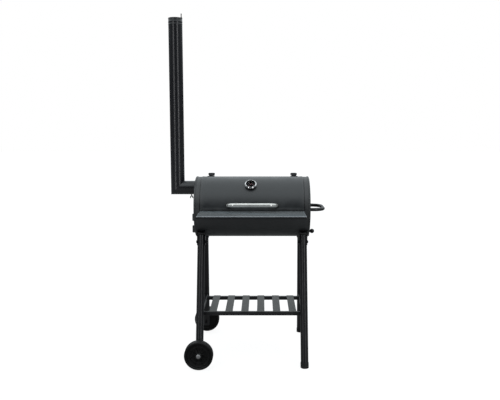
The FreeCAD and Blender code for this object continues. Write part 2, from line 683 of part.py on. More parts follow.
# ---- legs ----------------------------------------------------------------------------------
lean = math.degrees(math.atan((VAL["footY"] - VAL["boltY"]) / VAL["boltZ"]))
legR, legW, legTop = dim("legR"), dim("legWall"), VAL["legTopZ"]
FOOT_X = {-1: dim("legX"), 1: dim("legXrear")}
TOP_X = {-1: dim("legTopX"), 1: dim("legTopXrear")}
AXLE_X = {-1: dim("axleX"), 1: dim("axleXrear")}


def leg_x(sx, sy, z):
    """Where a leg's axis stands at a height."""
    return (FOOT_X[sy] + (TOP_X[sy] - FOOT_X[sy]) * (z / legTop)) * sx


def leg_rot(sx, sy):
    d = V((TOP_X[sy].v - FOOT_X[sy].v) * sx / legTop, -sy * math.tan(math.radians(lean)), 1)
    d.normalize()
    return axes((1, 0, 0), (0, 1, 0), tuple(d))


def leg_rod(name, sx, sy, r, low=-60.0, high=None):
    """Cylinder on a leg's axis; low and high are distances along the leg from the floor."""
    rot = leg_rot(sx, sy)
    d = rot.multVec(V(0, 0, 1))
    high = legTop / d.z if high is None else high
    return cyl(name, r, high - low, FOOT_X[sy] * sx + d.x * low, dim("footY") * sy + d.y * low, d.z * low, rot)


def big_box(name, sx, sy, z0, z1):
    return cbox(name, 200, 700, z1 - z0, FOOT_X[sy] * sx, 0, z0)


brackets, cross_bolts, feet, plugs = [], [], [], []
for sx, xn in ((-1, "left"), (1, "right")):
    for sy, yn in ((-1, "front"), (1, "rear")):
        tag = yn[0] + xn[0]
        z0 = 50.0 if sx < 0 else 3.2
        boltX = leg_x(sx, sy, VAL["boltZ"])
        outer = common("leg_o" + tag, leg_rod("leg_a" + tag, sx, sy, legR), big_box("leg_b" + tag, sx, sy, z0, 900))
        tools = [leg_rod("leg_c" + tag, sx, sy, legR - legW, low=-80, high=760),
                 cyl("leg_h" + tag, 4.1, 80, boltX - 40, dim("boltY") * sy, dim("boltZ"), RIGHT)]
        if sx < 0:
            tools.append(cyl("leg_x" + tag, dim("axleR") + 0.08, 120, -AXLE_X[sy], 255 * sy - 60, dim("wheelR"), BACK))
        node(cut("leg_d" + tag, outer, group("leg_g" + tag, tools)), "leg_%s_%s" % (yn, xn))
        # bracket: two cheeks that hug the leg and a curved base on the barrel
        side = 21.4 if sy < 0 else 21.9
        cheeks = []
        for k in (-1, 1):
            e = prism("cheek_%s%d" % (tag, k), "YZ_Plane",
                      [(134 * sy, 628), (130 * sy, 620), (118 * sy, 617), (112 * sy, 622), (92 * sy, 668),
                       (92 * sy, 700), (118 * sy, 716), (124 * sy, 690)], 2)
            cheeks.append(at(e, boltX + side * k))
        base = sector("saddle_" + tag, drumOuter + 0.1, 2, 49, *((-150, -134) if sy > 0 else (134, 150)),
                      -300 if sx < 0 else 251)
        blank = fuse("bracket_f" + tag, base, *cheeks)
        brackets.append(cut("bracket_c" + tag, blank,
                            group("bracket_g" + tag, [drum_tool("bracket_t" + tag, drumOuter + 0.1, 80, boltX - 40),
                                                      cyl("bracket_h" + tag, 4.1, 80, boltX - 40, dim("boltY") * sy,
                                                          dim("boltZ"), RIGHT)])))
        out_rot = RIGHT if sx > 0 else LEFT
        cross_bolts.append(bolt("cross_bolt_" + tag, 7.5, 4.5, 4, 54, boltX + (side + 1.1) * sx, dim("boltY") * sy,
                                dim("boltZ"), out_rot))
        cross_bolts.append(nut("cross_nut_" + tag, 7.5, 5.5, 4.1, boltX - (side + 6.7) * sx, dim("boltY") * sy,
                               dim("boltZ"), out_rot))
        if sx > 0:
            o = common("foot_o" + tag, leg_rod("foot_a" + tag, sx, sy, legR + 1.6, high=120), big_box("foot_b" + tag, sx, sy, 0, 24))
            i = common("foot_i" + tag, leg_rod("foot_c" + tag, sx, sy, legR + 0.15, high=120), big_box("foot_d" + tag, sx, sy, 3, 60))
            feet.append(cut("foot_e" + tag, o, i))
        else:
            o = common("plug_o" + tag, leg_rod("plug_a" + tag, sx, sy, legR, high=160), big_box("plug_b" + tag, sx, sy, 47.9, 49.8))
            i = common("plug_i" + tag, leg_rod("plug_c" + tag, sx, sy, legR - legW - 0.15, high=160), big_box("plug_d" + tag, sx, sy, 49, 60))
            plugs.append(fuse("plug_e" + tag, o, i))
node(group("leg_brackets_g", brackets), "leg_brackets")
node(group("leg_bolts_g", cross_bolts), "leg_bolts")
node(group("foot_caps_g", feet), "foot_caps")
node(group("leg_plugs_g", plugs), "leg_plugs")

# ---- lower shelf ---------------------------------------------------------------------------
rt, rl, rw = dim("railTop"), dim("railTall"), dim("railWide")
for sx, xn in ((-1, "left"), (1, "right")):
    o = cbox("side_bar_o" + xn, rw, 412, rl, dim("barX") * sx, 0, rt - rl)
    i = cbox("side_bar_i" + xn, rw - 3, 420, rl - 3, dim("barX") * sx, 0, rt - rl + 1.5)
    tools = group("side_bar_t" + xn, [i, leg_rod("side_bar_f" + xn, sx, -1, legR + 0.1), leg_rod("side_bar_r" + xn, sx, 1, legR + 0.1)])
    node(cut("side_bar_c" + xn, o, tools), "side_bar_" + xn)
for sy, yn in ((-1, "front"), (1, "rear")):
    length = dim("barX") * 2 - rw - 0.2
    o = cbox("rail_o" + yn, length, rw, rl, 0, dim("railY") * sy, rt - rl)
    i = cbox("rail_i" + yn, 600, rw - 3, rl - 3, 0, dim("railY") * sy, rt - rl + 1.5)
    node(cut("rail_c" + yn, o, i), "rail_" + yn)
slats = []
half, st = dim("slatLong") * 0.5, dim("slatThick")
for k in range(6):
    e = prism("slat_%d" % k, "YZ_Plane", [(-half, 0), (half, 0), (half, st), (-half, st)], dim("slatWide"))
    slats.append(at(e, dim("slatPitch") * (k - 2.5) + 3, 0, rt + 0.1))
node(group("shelf_slats_g", slats), "shelf_slats")

# ---- wheels --------------------------------------------------------------------------------
wr, wb, ar = dim("wheelR"), dim("wheelBore"), dim("axleR")
caps, spacers, stubs = [], [], []
for sy, yn, rot in ((-1, "front", FRONT), (1, "rear", BACK)):
    w = lathe("wheel_b" + yn, [(wb, 292.6), (15, 292.6), (17, 299), (57, 302), (62, 297), (62, 286.5), (72, 286.5),
                               (wr, 289.5), (wr, 323), (72, 326), (63, 326), (58, 311), (21, 308), (17, 327.6),
                               (wb, 327.6)])
    node(w, "wheel_" + yn, -AXLE_X[sy], 0, wr, rot)
    c = fuse("stub_" + yn, hexa("stub_h" + yn, 8.5, 6, 0, 0, dim("axleIn") - 6),
             cyl("stub_s" + yn, ar, dim("axleHalf") - dim("axleIn") + 1, 0, 0, dim("axleIn") - 1))
    stubs.append(at(c, -AXLE_X[sy], 0, wr, rot))
    c = lathe("hub_cap_b" + yn, [(ar + 0.02, 328), (11.5, 328), (11.5, 330), (9, 332.2), (4.5, 333), (0, 333),
                                 (0, 331.1), (ar + 0.02, 331.1)])
    caps.append(at(c, -AXLE_X[sy], 0, wr, rot))
    c = lathe("spacer_b" + yn, [(ar + 0.05, 287.6), (8, 287.6), (8, 292.2), (ar + 0.05, 292.2)])
    spacers.append(at(c, -AXLE_X[sy], 0, wr, rot))
node(group("wheel_axles_g", stubs), "wheel_axles")
node(group("hub_caps_g", caps), "hub_caps")
node(group("axle_spacers_g", spacers), "axle_spacers")

# ---- side handle, right end ----------------------------------------------------------------
node(loop_tube("side_handle_b", dim("sideHalf"), dim("sideRise"), 55, dim("sideR"), dim("sideR") - 1.5),
     "side_handle", face + 2.5, 0, drumZ - 5, RIGHT)
flanges, screws = [], []
for sgn, tag in ((-1, "f"), (1, "r")):
    c = lathe("side_flange_" + tag, [(4.2, 0.1), (15, 0.1), (15, 1.2), (13.5, 2.4), (4.2, 2.4)])
    flanges.append(at(c, face, dim("sideHalf") * sgn, drumZ - 5, RIGHT))
    screws.append(bolt("side_screw_" + tag, 7, 4, 4, 22, face - 2.1, dim("sideHalf") * sgn, drumZ - 5, LEFT))
node(group("side_handle_flanges_g", flanges), "side_handle_flanges")
node(group("side_handle_screws_g", screws), "side_handle_screws")

# ---- air damper, right end -----------------------------------------------------------------
b = body("damper_disc_b")
s = sketch(b, "XY_Plane")
circle(s, 0, 0, 15.5)
circle(s, 0, 0, dim("doorPinR") + 0.05)
pad(b, s, 2)
lug = box("damper_lug", 8, 5, 2, -23, -2.5, 0)
disc = fuse("damper_disc_f", b, lug)
node(cut("damper_disc_c", disc, port_tool("ports_disc", 0, 0, 0, ID, 0)), "damper_disc", face + 0.4, 0, dim("damperZ"), RIGHT)
ball = DOC.addObject("Part::Sphere", "damper_ball")
bind(ball, "Radius", dim("ballR"))
at(ball, 0, 0, 21)
neck = DOC.addObject("Part::Cone", "damper_neck")
neck.Radius1, neck.Radius2, neck.Height = 8, 6.5, 9
at(neck, 0, 0, 2.5)
node(fuse("damper_knob_f", ball, neck, cyl("damper_stud", dim("doorPinR"), 12, 0, 0, -6),
          cyl("damper_clip", 5.2, 1.6, 0, 0, -4.6)), "damper_knob", face, 0, dim("damperZ"), RIGHT)
studs = []
for sgn in (-1, 1):
    st_ = fuse("damper_stud%d" % sgn, cyl("ds_a%d" % sgn, 2.5, 8, 0, 0, -4), hexa("ds_b%d" % sgn, 6.2, 4.2, 0, 0, 0.2),
               cyl("ds_c%d" % sgn, 3.6, 1.4, 0, 0, 4.2))
    studs.append(at(st_, face, 0, dim("damperZ") + 22 * sgn, RIGHT))
node(group("damper_studs_g", studs), "damper_studs")

# ---- ash door, left end --------------------------------------------------------------------
dhx, dhy, dpr = dim("doorHingeX"), dim("doorHingeY"), dim("doorPinR")
b = body("ash_door_b")
s = sketch(b, "XY_Plane")
poly(s, [(66, -131), (66, -32), (-70, -32), (-70, -131)])
pad(b, s, 2)
round_edges(b, lambda e: abs(e.Vertexes[0].Point.z - e.Vertexes[-1].Point.z) > 1.5, 5)
node(b, "ash_door", -face - 0.5, 0, drumZ, LEFT)
moving, fixed, dpins = [], [], []
for k, z0 in enumerate((681, 745)):
    kn = cyl("knuckle_m%d" % k, 7, 17.6, -dhx, -dhy, z0 + 18)
    leaf = box("leaf_m%d" % k, 2, 34, 17.6, -face - 4.6, -dhy, z0 + 18)
    moving.append(cut("hinge_m%d" % k, fuse("hinge_mf%d" % k, kn, leaf),
                      cyl("hinge_mh%d" % k, dpr + 0.07, 60, -dhx, -dhy, z0 - 10)))
    kn = cyl("knuckle_f%d" % k, 7, 17.4, -dhx, -dhy, z0)
    leaf = box("leaf_f%d" % k, 3.6, 18, 17.4, -face - 3.7, -dhy - 18, z0)
    fixed.append(cut("hinge_f%d" % k, fuse("hinge_ff%d" % k, kn, leaf),
                     cyl("hinge_fh%d" % k, dpr + 0.03, 60, -dhx, -dhy, z0 - 10)))
    dpins.append(fuse("door_pin%d" % k, cyl("door_pin_a%d" % k, dpr, 40, -dhx, -dhy, z0 - 2),
                      cyl("door_pin_b%d" % k, 4.6, 1.8, -dhx, -dhy, z0 + 36.2)))
node(group("ash_door_leaves_g", moving), "ash_door_leaves")
node(group("door_hinge_leaves_g", fixed), "door_hinge_leaves")
node(group("door_hinge_pins_g", dpins), "door_hinge_pins")
tab = prism("ash_tab_p", "XZ_Plane", [(-62, 2.2), (-44, 2.2), (-44, 3.8), (-60.4, 3.8), (-60.4, 9.8), (-62, 9.8)], 30)
node(tab, "ash_door_tab", -face - 0.5, 0, drumZ - 81.5, LEFT)

# ---- inside: cooking grates and charcoal tray ----------------------------------------------
grates = []
for sgn, tag in ((-1, "l"), (1, "r")):
    b = body("grate_" + tag)
    s = sketch(b, "XY_Plane")
    poly(s, [(-143.5, -150), (143.5, -150), (143.5, 150), (-143.5, 150)])
    pad(b, s, 6)
    s = sketch(b, "XY_Plane")
    for k in range(19):
        x0 = -137.5 + k * 14.65
        poly(s, [(x0, -144), (x0 + 9.3, -144), (x0 + 9.3, 144), (x0, 144)])
    pocket(b, s, 20, mid=True)
    grates.append(at(b, 146 * sgn, 0, dim("grateZ")))
node(group("cooking_grates_g", grates), "cooking_grates")
rests = [box("grate_rest_%d" % k, 590, 15, 2, -295, y0, dim("grateZ") - 2.2) for k, y0 in enumerate((-161, 146))]
o = cbox("tray_o", 540, 208, 18, 0, 0, dim("trayZ"))
i = cbox("tray_i", 536.8, 204.8, 30, 0, 0, dim("trayZ") + 1.6)
node(cut("tray_c", o, i), "charcoal_tray")
rests += [cbox("tray_rest_%d" % k, 20, 248, 2, x0, 0, dim("trayZ") - 2.2) for k, x0 in enumerate((-200, 200))]
node(group("inner_rests_g", rests), "inner_rests")

# ---- check and write -----------------------------------------------------------------------
DOC.recompute()
bad = [o.Name + ":" + ",".join(o.State) for o in DOC.Objects if "Invalid" in o.State or "Error" in o.State]
if bad:
    raise RuntimeError("failed objects: " + "; ".join(bad))
os.makedirs("parts", exist_ok=True)
for o in NODES:
    if o.Shape.isNull() or not o.Shape.isValid() or not o.Shape.Solids:
        raise RuntimeError("bad shape in " + o.Label)
total = NODES[0].Shape.optimalBoundingBox(False)
for o in NODES:
    total.add(o.Shape.optimalBoundingBox(False))
    o.Shape.exportStep("parts/%s.step" % o.Label)
print(len(NODES), "nodes", len(set(o.Label for o in NODES)), "names")
print("box", [round(q, 2) for q in (total.XMin, total.XMax, total.YMin, total.YMax, total.ZMin, total.ZMax)])
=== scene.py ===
import bpy, bmesh, json, math
from mathutils import Vector, Matrix, noise


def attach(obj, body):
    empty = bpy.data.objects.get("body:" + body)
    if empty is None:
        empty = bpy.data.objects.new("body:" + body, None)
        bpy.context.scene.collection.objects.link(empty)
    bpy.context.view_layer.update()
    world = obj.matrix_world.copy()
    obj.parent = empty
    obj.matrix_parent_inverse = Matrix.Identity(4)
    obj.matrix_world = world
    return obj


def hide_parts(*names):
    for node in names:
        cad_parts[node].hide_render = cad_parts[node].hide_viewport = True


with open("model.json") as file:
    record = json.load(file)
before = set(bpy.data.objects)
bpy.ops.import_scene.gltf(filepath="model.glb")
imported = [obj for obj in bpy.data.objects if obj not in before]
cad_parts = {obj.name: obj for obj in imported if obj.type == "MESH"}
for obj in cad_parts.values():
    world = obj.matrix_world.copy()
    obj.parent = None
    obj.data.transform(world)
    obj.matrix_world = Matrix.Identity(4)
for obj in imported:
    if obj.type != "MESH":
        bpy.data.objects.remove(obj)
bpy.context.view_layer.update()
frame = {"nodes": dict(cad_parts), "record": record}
NODES = frame["nodes"]

# Everything below is laid out about the barrel: X right, Y to the rear, Z up, millimetres, and W() turns
# it into the row frame in metres.
OX, OY = 26.9, 16.5


def W(x, y, z):
    return Vector(((x + OX) / 1000.0, (y + OY) / 1000.0, z / 1000.0))


# ---- camera ---------------------------------------------------------------------------------
cam_data = bpy.data.cameras.new("camera")
cam_data.sensor_width = 36.0
cam_data.lens = 43.2
cam_data.shift_x = -0.023
cam_data.clip_end = 50
cam = bpy.data.objects.new("camera", cam_data)
cam.location = W(50, -3304, 1235)
cam.rotation_euler = (math.radians(90 - 6.654), 0, 0)
bpy.context.scene.collection.objects.link(cam)
bpy.context.scene.camera = cam
bpy.context.scene.view_settings.view_transform = "Standard"

# ---- light ----------------------------------------------------------------------------------
# A plain studio: white to the eye, a broad pale ceiling, dim walls and two tall soft boxes at the front corners.
world = bpy.data.worlds.new("studio")
world.use_nodes = True
wn, wl = world.node_tree.nodes, world.node_tree.links
bg = wn["Background"]
wtc = wn.new("ShaderNodeTexCoord")
wsep = wn.new("ShaderNodeSeparateXYZ")
wl.new(wtc.outputs["Generated"], wsep.inputs["Vector"])
wr = wn.new("ShaderNodeValToRGB")
wr.color_ramp.interpolation = "EASE"
wr.color_ramp.elements[0].position = 0.08
wr.color_ramp.elements[0].color = (0.018, 0.019, 0.021, 1)
wr.color_ramp.elements[1].position = 0.50
wr.color_ramp.elements[1].color = (0.90, 0.97, 1.0, 1)
# height, weighted so that the ceiling reaches lower at the back than over the front
wy = wn.new("ShaderNodeMath")
wy.operation = "MULTIPLY_ADD"
wy.inputs[1].default_value = 0.58
wy.inputs[2].default_value = 1.0
wl.new(wsep.outputs["Y"], wy.inputs[0])
wz = wn.new("ShaderNodeMath")
wz.operation = "MULTIPLY"
wl.new(wsep.outputs["Z"], wz.inputs[0])
wl.new(wy.outputs[0], wz.inputs[1])
wl.new(wz.outputs[0], wr.inputs["Fac"])
wlp = wn.new("ShaderNodeLightPath")
wmix = wn.new("ShaderNodeMixRGB")
wl.new(wlp.outputs["Is Camera Ray"], wmix.inputs["Fac"])
wl.new(wr.outputs["Color"], wmix.inputs["Color1"])
wmix.inputs["Color2"].default_value = (1, 1, 1, 1)
wl.new(wmix.outputs["Color"], bg.inputs["Color"])
bg.inputs["Strength"].default_value = 1.0
bpy.context.scene.world = world


def area(name, loc, target, size, power, size_y=None, color=(1, 1, 1)):
    d = bpy.data.lights.new(name, "AREA")
    d.shape = "RECTANGLE"
    d.size, d.size_y = size, size_y or size
    d.energy = power
    d.color = color
    o = bpy.data.objects.new(name, d)
    o.location = loc
    o.rotation_euler = (Vector(target) - Vector(loc)).to_track_quat("-Z", "Y").to_euler()
    bpy.context.scene.collection.objects.link(o)
    return o


area("softbox_left", (-1.85, -2.75, 1.75), (-0.1, 0, 1.1), 0.62, 11, 3.1, (0.97, 0.98, 1.0))
area("softbox_right", (1.85, -2.75, 1.75), (0.1, 0, 1.1), 0.62, 14.5, 3.1, (0.97, 0.98, 1.0))

floor_mesh = bpy.data.meshes.new("floor")
floor_mesh.from_pydata([(-30, -8, 0), (30, -8, 0), (30, 30, 0), (-30, 30, 0)], [], [(0, 1, 2, 3)])
floor = bpy.data.objects.new("floor", floor_mesh)
bpy.context.scene.collection.objects.link(floor)
fm = bpy.data.materials.new("floor_pale")
fm.use_nodes = True
fn_, fl_ = fm.node_tree.nodes, fm.node_tree.links
fb = fn_["Principled BSDF"]
fb.inputs["Base Color"].default_value = (0.18, 0.18, 0.18, 1)
fb.inputs["Roughness"].default_value = 1.0
fb.inputs["Specular IOR Level"].default_value = 0.0
fb.inputs["Emission Color"].default_value = (1, 1, 1, 1)
flp = fn_.new("ShaderNodeLightPath")
fmr = fn_.new("ShaderNodeMapRange")
# the floor's own glow is the same all over: full to the camera, faint as a light
fmr.inputs["To Min"].default_value = 0.05
fmr.inputs["To Max"].default_value = 0.90
fl_.new(flp.outputs["Is Camera Ray"], fmr.inputs["Value"])
fl_.new(fmr.outputs["Result"], fb.inputs["Emission Strength"])
floor_mesh.materials.append(fm)


# ---- materials ------------------------------------------------------------------------------
def material(name, color, dark, rough, metal=0.0, grain=900, bump=0.05, mottle=14, spec=0.5, rough_var=0.08,
             coat=0.0, coat_rough=0.2, wave=0.0, edge_wear_and_highlight=None):
    """Painted or moulded surface: fine grain in the bump, soft mottling in colour and roughness."""
    m = bpy.data.materials.new(name)
    m.use_nodes = True
    nt = m.node_tree
    n, l = nt.nodes, nt.links
    b = n["Principled BSDF"]
    b.inputs["Metallic"].default_value = metal
    b.inputs["Specular IOR Level"].default_value = spec
    if coat:
        b.inputs["Coat Weight"].default_value = coat
        b.inputs["Coat Roughness"].default_value = coat_rough
    tc = n.new("ShaderNodeTexCoord")
    big = n.new("ShaderNodeTexNoise")
    big.inputs["Scale"].default_value = mottle
    big.inputs["Detail"].default_value = 6
    big.inputs["Roughness"].default_value = 0.6
    l.new(tc.outputs["Object"], big.inputs["Vector"])
    fine = n.new("ShaderNodeTexNoise")
    fine.inputs["Scale"].default_value = grain
    fine.inputs["Detail"].default_value = 3
    l.new(tc.outputs["Object"], fine.inputs["Vector"])
    add = n.new("ShaderNodeMath")
    add.operation = "MULTIPLY_ADD"
    add.inputs[1].default_value = 0.45
    l.new(fine.outputs["Fac"], add.inputs[0])
    l.new(big.outputs["Fac"], add.inputs[2])
    ramp = n.new("ShaderNodeValToRGB")
    ramp.color_ramp.elements[0].position = 0.5
    ramp.color_ramp.elements[1].position = 0.95
    ramp.color_ramp.elements[0].color = (*dark, 1)
    ramp.color_ramp.elements[1].color = (*color, 1)
    l.new(add.outputs[0], ramp.inputs["Fac"])
    col = ramp.outputs["Color"]
    # Convex edges (high Pointiness), gated by the mottling, blend toward the given colour: partly edge wear, partly a
    # painted highlight along the edges.
    if edge_wear_and_highlight:
        geo = n.new("ShaderNodeNewGeometry")
        edge = n.new("ShaderNodeMapRange")
        edge.inputs["From Min"].default_value = 0.53
        edge.inputs["From Max"].default_value = 0.62
        l.new(geo.outputs["Pointiness"], edge.inputs["Value"])
        gate = n.new("ShaderNodeMath")
        gate.operation = "MULTIPLY"
        l.new(edge.outputs["Result"], gate.inputs[0])
        l.new(big.outputs["Fac"], gate.inputs[1])
        mix = n.new("ShaderNodeMixRGB")
        mix.inputs["Color2"].default_value = (*edge_wear_and_highlight, 1)
        l.new(gate.outputs[0], mix.inputs["Fac"])
        l.new(col, mix.inputs["Color1"])
        col = mix.outputs["Color"]
    l.new(col, b.inputs["Base Color"])
    rr = n.new("ShaderNodeMapRange")
    rr.inputs["From Min"].default_value = 0.3
    rr.inputs["From Max"].default_value = 0.7
    rr.inputs["To Min"].default_value = rough - rough_var
    rr.inputs["To Max"].default_value = rough + rough_var
    l.new(big.outputs["Fac"], rr.inputs["Value"])
    l.new(rr.outputs["Result"], b.inputs["Roughness"])
    bp = n.new("ShaderNodeBump")
    bp.inputs["Strength"].default_value = bump
    bp.inputs["Distance"].default_value = 0.0004
    l.new(fine.outputs["Fac"], bp.inputs["Height"])
    last = bp
    if wave:
        slow = n.new("ShaderNodeTexNoise")
        slow.inputs["Scale"].default_value = 5
        slow.inputs["Detail"].default_value = 1
        l.new(tc.outputs["Object"], slow.inputs["Vector"])
        b2 = n.new("ShaderNodeBump")
        b2.inputs["Strength"].default_value = wave
        b2.inputs["Distance"].default_value = 0.004
        l.new(slow.outputs["Fac"], b2.inputs["Height"])
        l.new(bp.outputs["Normal"], b2.inputs["Normal"])
        last = b2
    l.new(last.outputs["Normal"], b.inputs["Normal"])
    return m


def brushed(name, color, rough, axis=0, streak=600, bump=0.08, metal=1.0):
    """Bare or plated metal with fine lines along one axis and a little clouding."""
    m = bpy.data.materials.new(name)
    m.use_nodes = True
    nt = m.node_tree
    n, l = nt.nodes, nt.links
    b = n["Principled BSDF"]
    b.inputs["Metallic"].default_value = metal
    tc = n.new("ShaderNodeTexCoord")
    mp = n.new("ShaderNodeMapping")
    sc = [streak, streak, streak]
    sc[axis] = streak * 0.02
    mp.inputs["Scale"].default_value = sc
    l.new(tc.outputs["Object"], mp.inputs["Vector"])
    lines = n.new("ShaderNodeTexNoise")
    lines.inputs["Scale"].default_value = 1.0
    lines.inputs["Detail"].default_value = 4
    l.new(mp.outputs["Vector"], lines.inputs["Vector"])
    cloud = n.new("ShaderNodeTexNoise")
    cloud.inputs["Scale"].default_value = 30
    cloud.inputs["Detail"].default_value = 4
    l.new(tc.outputs["Object"], cloud.inputs["Vector"])
    ramp = n.new("ShaderNodeValToRGB")
    ramp.color_ramp.elements[0].position = 0.3
    ramp.color_ramp.elements[1].position = 0.75
    ramp.color_ramp.elements[0].color = (color[0] * 0.82, color[1] * 0.82, color[2] * 0.82, 1)
    ramp.color_ramp.elements[1].color = (*color, 1)
    l.new(cloud.outputs["Fac"], ramp.inputs["Fac"])
    l.new(ramp.outputs["Color"], b.inputs["Base Color"])
    rr = n.new("ShaderNodeMapRange")
    rr.inputs["From Min"].default_value = 0.3
    rr.inputs["From Max"].default_value = 0.7
    rr.inputs["To Min"].default_value = max(0.03, rough - 0.05)
    rr.inputs["To Max"].default_value = rough + 0.07
    l.new(lines.outputs["Fac"], rr.inputs["Value"])
    l.new(rr.outputs["Result"], b.inputs["Roughness"])
    bp = n.new("ShaderNodeBump")
    bp.inputs["Strength"].default_value = bump
    bp.inputs["Distance"].default_value = 0.0002
    l.new(lines.outputs["Fac"], bp.inputs["Height"])
    l.new(bp.outputs["Normal"], b.inputs["Normal"])
    return m


MATS = {
    "paint_barrel": material("paint_barrel", (0.032, 0.0345, 0.0365), (0.022, 0.024, 0.0258), 0.38, wave=0.10, bump=0.02, spec=0.8, edge_wear_and_highlight=(0.06, 0.06, 0.06)),
    "paint_lid": material("paint_lid", (0.034, 0.0372, 0.040), (0.024, 0.0266, 0.0288), 0.36, wave=0.10, bump=0.02, spec=0.8, edge_wear_and_highlight=(0.07, 0.07, 0.07)),
    "paint_chimney": material("paint_chimney", (0.013, 0.014, 0.0175), (0.010, 0.0105, 0.013), 0.27, rough_var=0.02, wave=0.02, bump=0.003, spec=0.85),
    "paint_frame": material("paint_frame", (0.012, 0.012, 0.014), (0.007, 0.007, 0.008), 0.30, rough_var=0.03, bump=0.008, spec=0.65),
    # Painted light: this shelf paint is far lighter than the other black paints, standing in for the sky's sheen on the
    # shelf top.
    "paint_shelf": material("paint_shelf", (0.235, 0.262, 0.278), (0.190, 0.214, 0.229), 0.14, rough_var=0.03, wave=0.03, bump=0.008, edge_wear_and_highlight=(0.2, 0.2, 0.2)),
    # Painted highlight: a lighter paint for the shelf pan's front fold, standing in for the overhead light reflected on
    # the rolled edge.
    "paint_edge_highlight": material("paint_edge_highlight", (0.34, 0.36, 0.38), (0.22, 0.235, 0.25), 0.25, bump=0.01),
    # Painted sheen: the slats' mid grey stands in for the light their upward faces reflect.
    "paint_slats": material("paint_slats", (0.110, 0.110, 0.106), (0.055, 0.056, 0.054), 0.55, grain=260, bump=0.5, edge_wear_and_highlight=(0.2, 0.2, 0.2)),
    "paint_grate": material("paint_grate", (0.030, 0.029, 0.028), (0.012, 0.011, 0.010), 0.50, grain=500, bump=0.3),
    "chrome_handle": brushed("chrome_handle", (0.98, 0.97, 0.93), 0.18, axis=0, bump=0.03, metal=0.68),
    "bezel_chrome": brushed("bezel_chrome", (0.96, 0.96, 0.96), 0.16, axis=0, bump=0.02),
    "dial_face": material("dial_face", (0.003, 0.002, 0.0025), (0.002, 0.0015, 0.002), 0.5, spec=0.2),
    "dial_ink": material("dial_ink", (0.055, 0.045, 0.05), (0.04, 0.033, 0.037), 0.5, spec=0.2),
    "dial_zone": material("dial_zone", (0.05, 0.04, 0.035), (0.035, 0.03, 0.025), 0.5, spec=0.2),
    "dial_red": material("dial_red", (0.08, 0.018, 0.02), (0.055, 0.012, 0.015), 0.5, spec=0.2),
    "needle_paint": material("needle_paint", (0.13, 0.04, 0.045), (0.09, 0.025, 0.03), 0.45, spec=0.2),
    "case_paint": material("case_paint", (0.012, 0.012, 0.012), (0.007, 0.007, 0.007), 0.25),
    "plastic_black": material("plastic_black", (0.007, 0.007, 0.007), (0.004, 0.004, 0.004), 0.46, spec=0.32, grain=400, bump=0.15, edge_wear_and_highlight=(0.04, 0.04, 0.04)),
    "knob_black": material("knob_black", (0.010, 0.010, 0.011), (0.006, 0.006, 0.006), 0.22),
    "zinc": brushed("zinc", (0.52, 0.52, 0.51), 0.35, axis=2),
    "zinc_dark": brushed("zinc_dark", (0.034, 0.034, 0.036), 0.42, axis=2),
    "hub_zinc": brushed("hub_zinc", (0.62, 0.62, 0.62), 0.38, axis=1, streak=300),
}
glass = bpy.data.materials.new("dial_glass")
glass.use_nodes = True
gb = glass.node_tree.nodes["Principled BSDF"]
gb.inputs["Base Color"].default_value = (1, 1, 1, 1)
gb.inputs["Transmission Weight"].default_value = 1.0
gb.inputs["IOR"].default_value = 1.08
gb.inputs["Specular IOR Level"].default_value = 0.12
gn = glass.node_tree.nodes.new("ShaderNodeTexNoise")
gn.inputs["Scale"].default_value = 60
gr = glass.node_tree.nodes.new("ShaderNodeMapRange")
gr.inputs["To Min"].default_value = 0.01
gr.inputs["To Max"].default_value = 0.05
glass.node_tree.links.new(gn.outputs["Fac"], gr.inputs["Value"])
glass.node_tree.links.new(gr.outputs["Result"], gb.inputs["Roughness"])
MATS["dial_glass"] = glass

SLOT = {p["node"]: p["material_slot"] for p in frame["record"]["subparts"]}
for name, o in NODES.items():
    m = MATS[SLOT[name]]
    if o.material_slots:
        for s in o.material_slots:
            s.material = m
    else:
        o.data.materials.append(m)

# ---- mesh helpers ---------------------------------------------------------------------------
class Fr:
    """A local frame: origin in millimetres about the barrel, and the three local axes."""

    def __init__(self, o=(0, 0, 0), x=(1, 0, 0), y=(0, 1, 0), z=(0, 0, 1)):
        self.o, self.x, self.y, self.z = Vector(o), Vector(x), Vector(y), Vector(z)

    def __call__(self, p):
        q = self.o + self.x * p[0] + self.y * p[1] + self.z * p[2]
        return W(q.x, q.y, q.z)


def fr_right(o):
    return Fr(o, (0, 1, 0), (0, 0, 1), (1, 0, 0))


def fr_left(o):
    return Fr(o, (0, -1, 0), (0, 0, 1), (-1, 0, 0))


def fr_front(o):
    return Fr(o, (1, 0, 0), (0, 0, 1), (0, -1, 0))


def fr_back(o):
    return Fr(o, (-1, 0, 0), (0, 0, 1), (0, 1, 0))


def fr_radial(phi, r, x=0.0):
    a = math.radians(phi)
    s, c = math.sin(a), math.cos(a)
    return Fr((x, -s * r, 814 + c * r), (1, 0, 0), (0, c, s), (0, -s, c))


def finish_mesh(name, bm, mat, body, nodes=(), smooth=35, extra=()):
    bmesh.ops.recalc_face_normals(bm, faces=bm.faces)
    me = bpy.data.meshes.new(name)
    bm.to_mesh(me)
    bm.free()
    me.materials.append(MATS[mat] if isinstance(mat, str) else mat)
    for m in extra:
        me.materials.append(MATS[m])
    o = bpy.data.objects.new(name, me)
    bpy.context.scene.collection.objects.link(o)
    for p in me.polygons:
        p.use_smooth = True
    me.set_sharp_from_angle(angle=math.radians(smooth))
    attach(o, body)
    if nodes:
        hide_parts(*nodes)
    return o


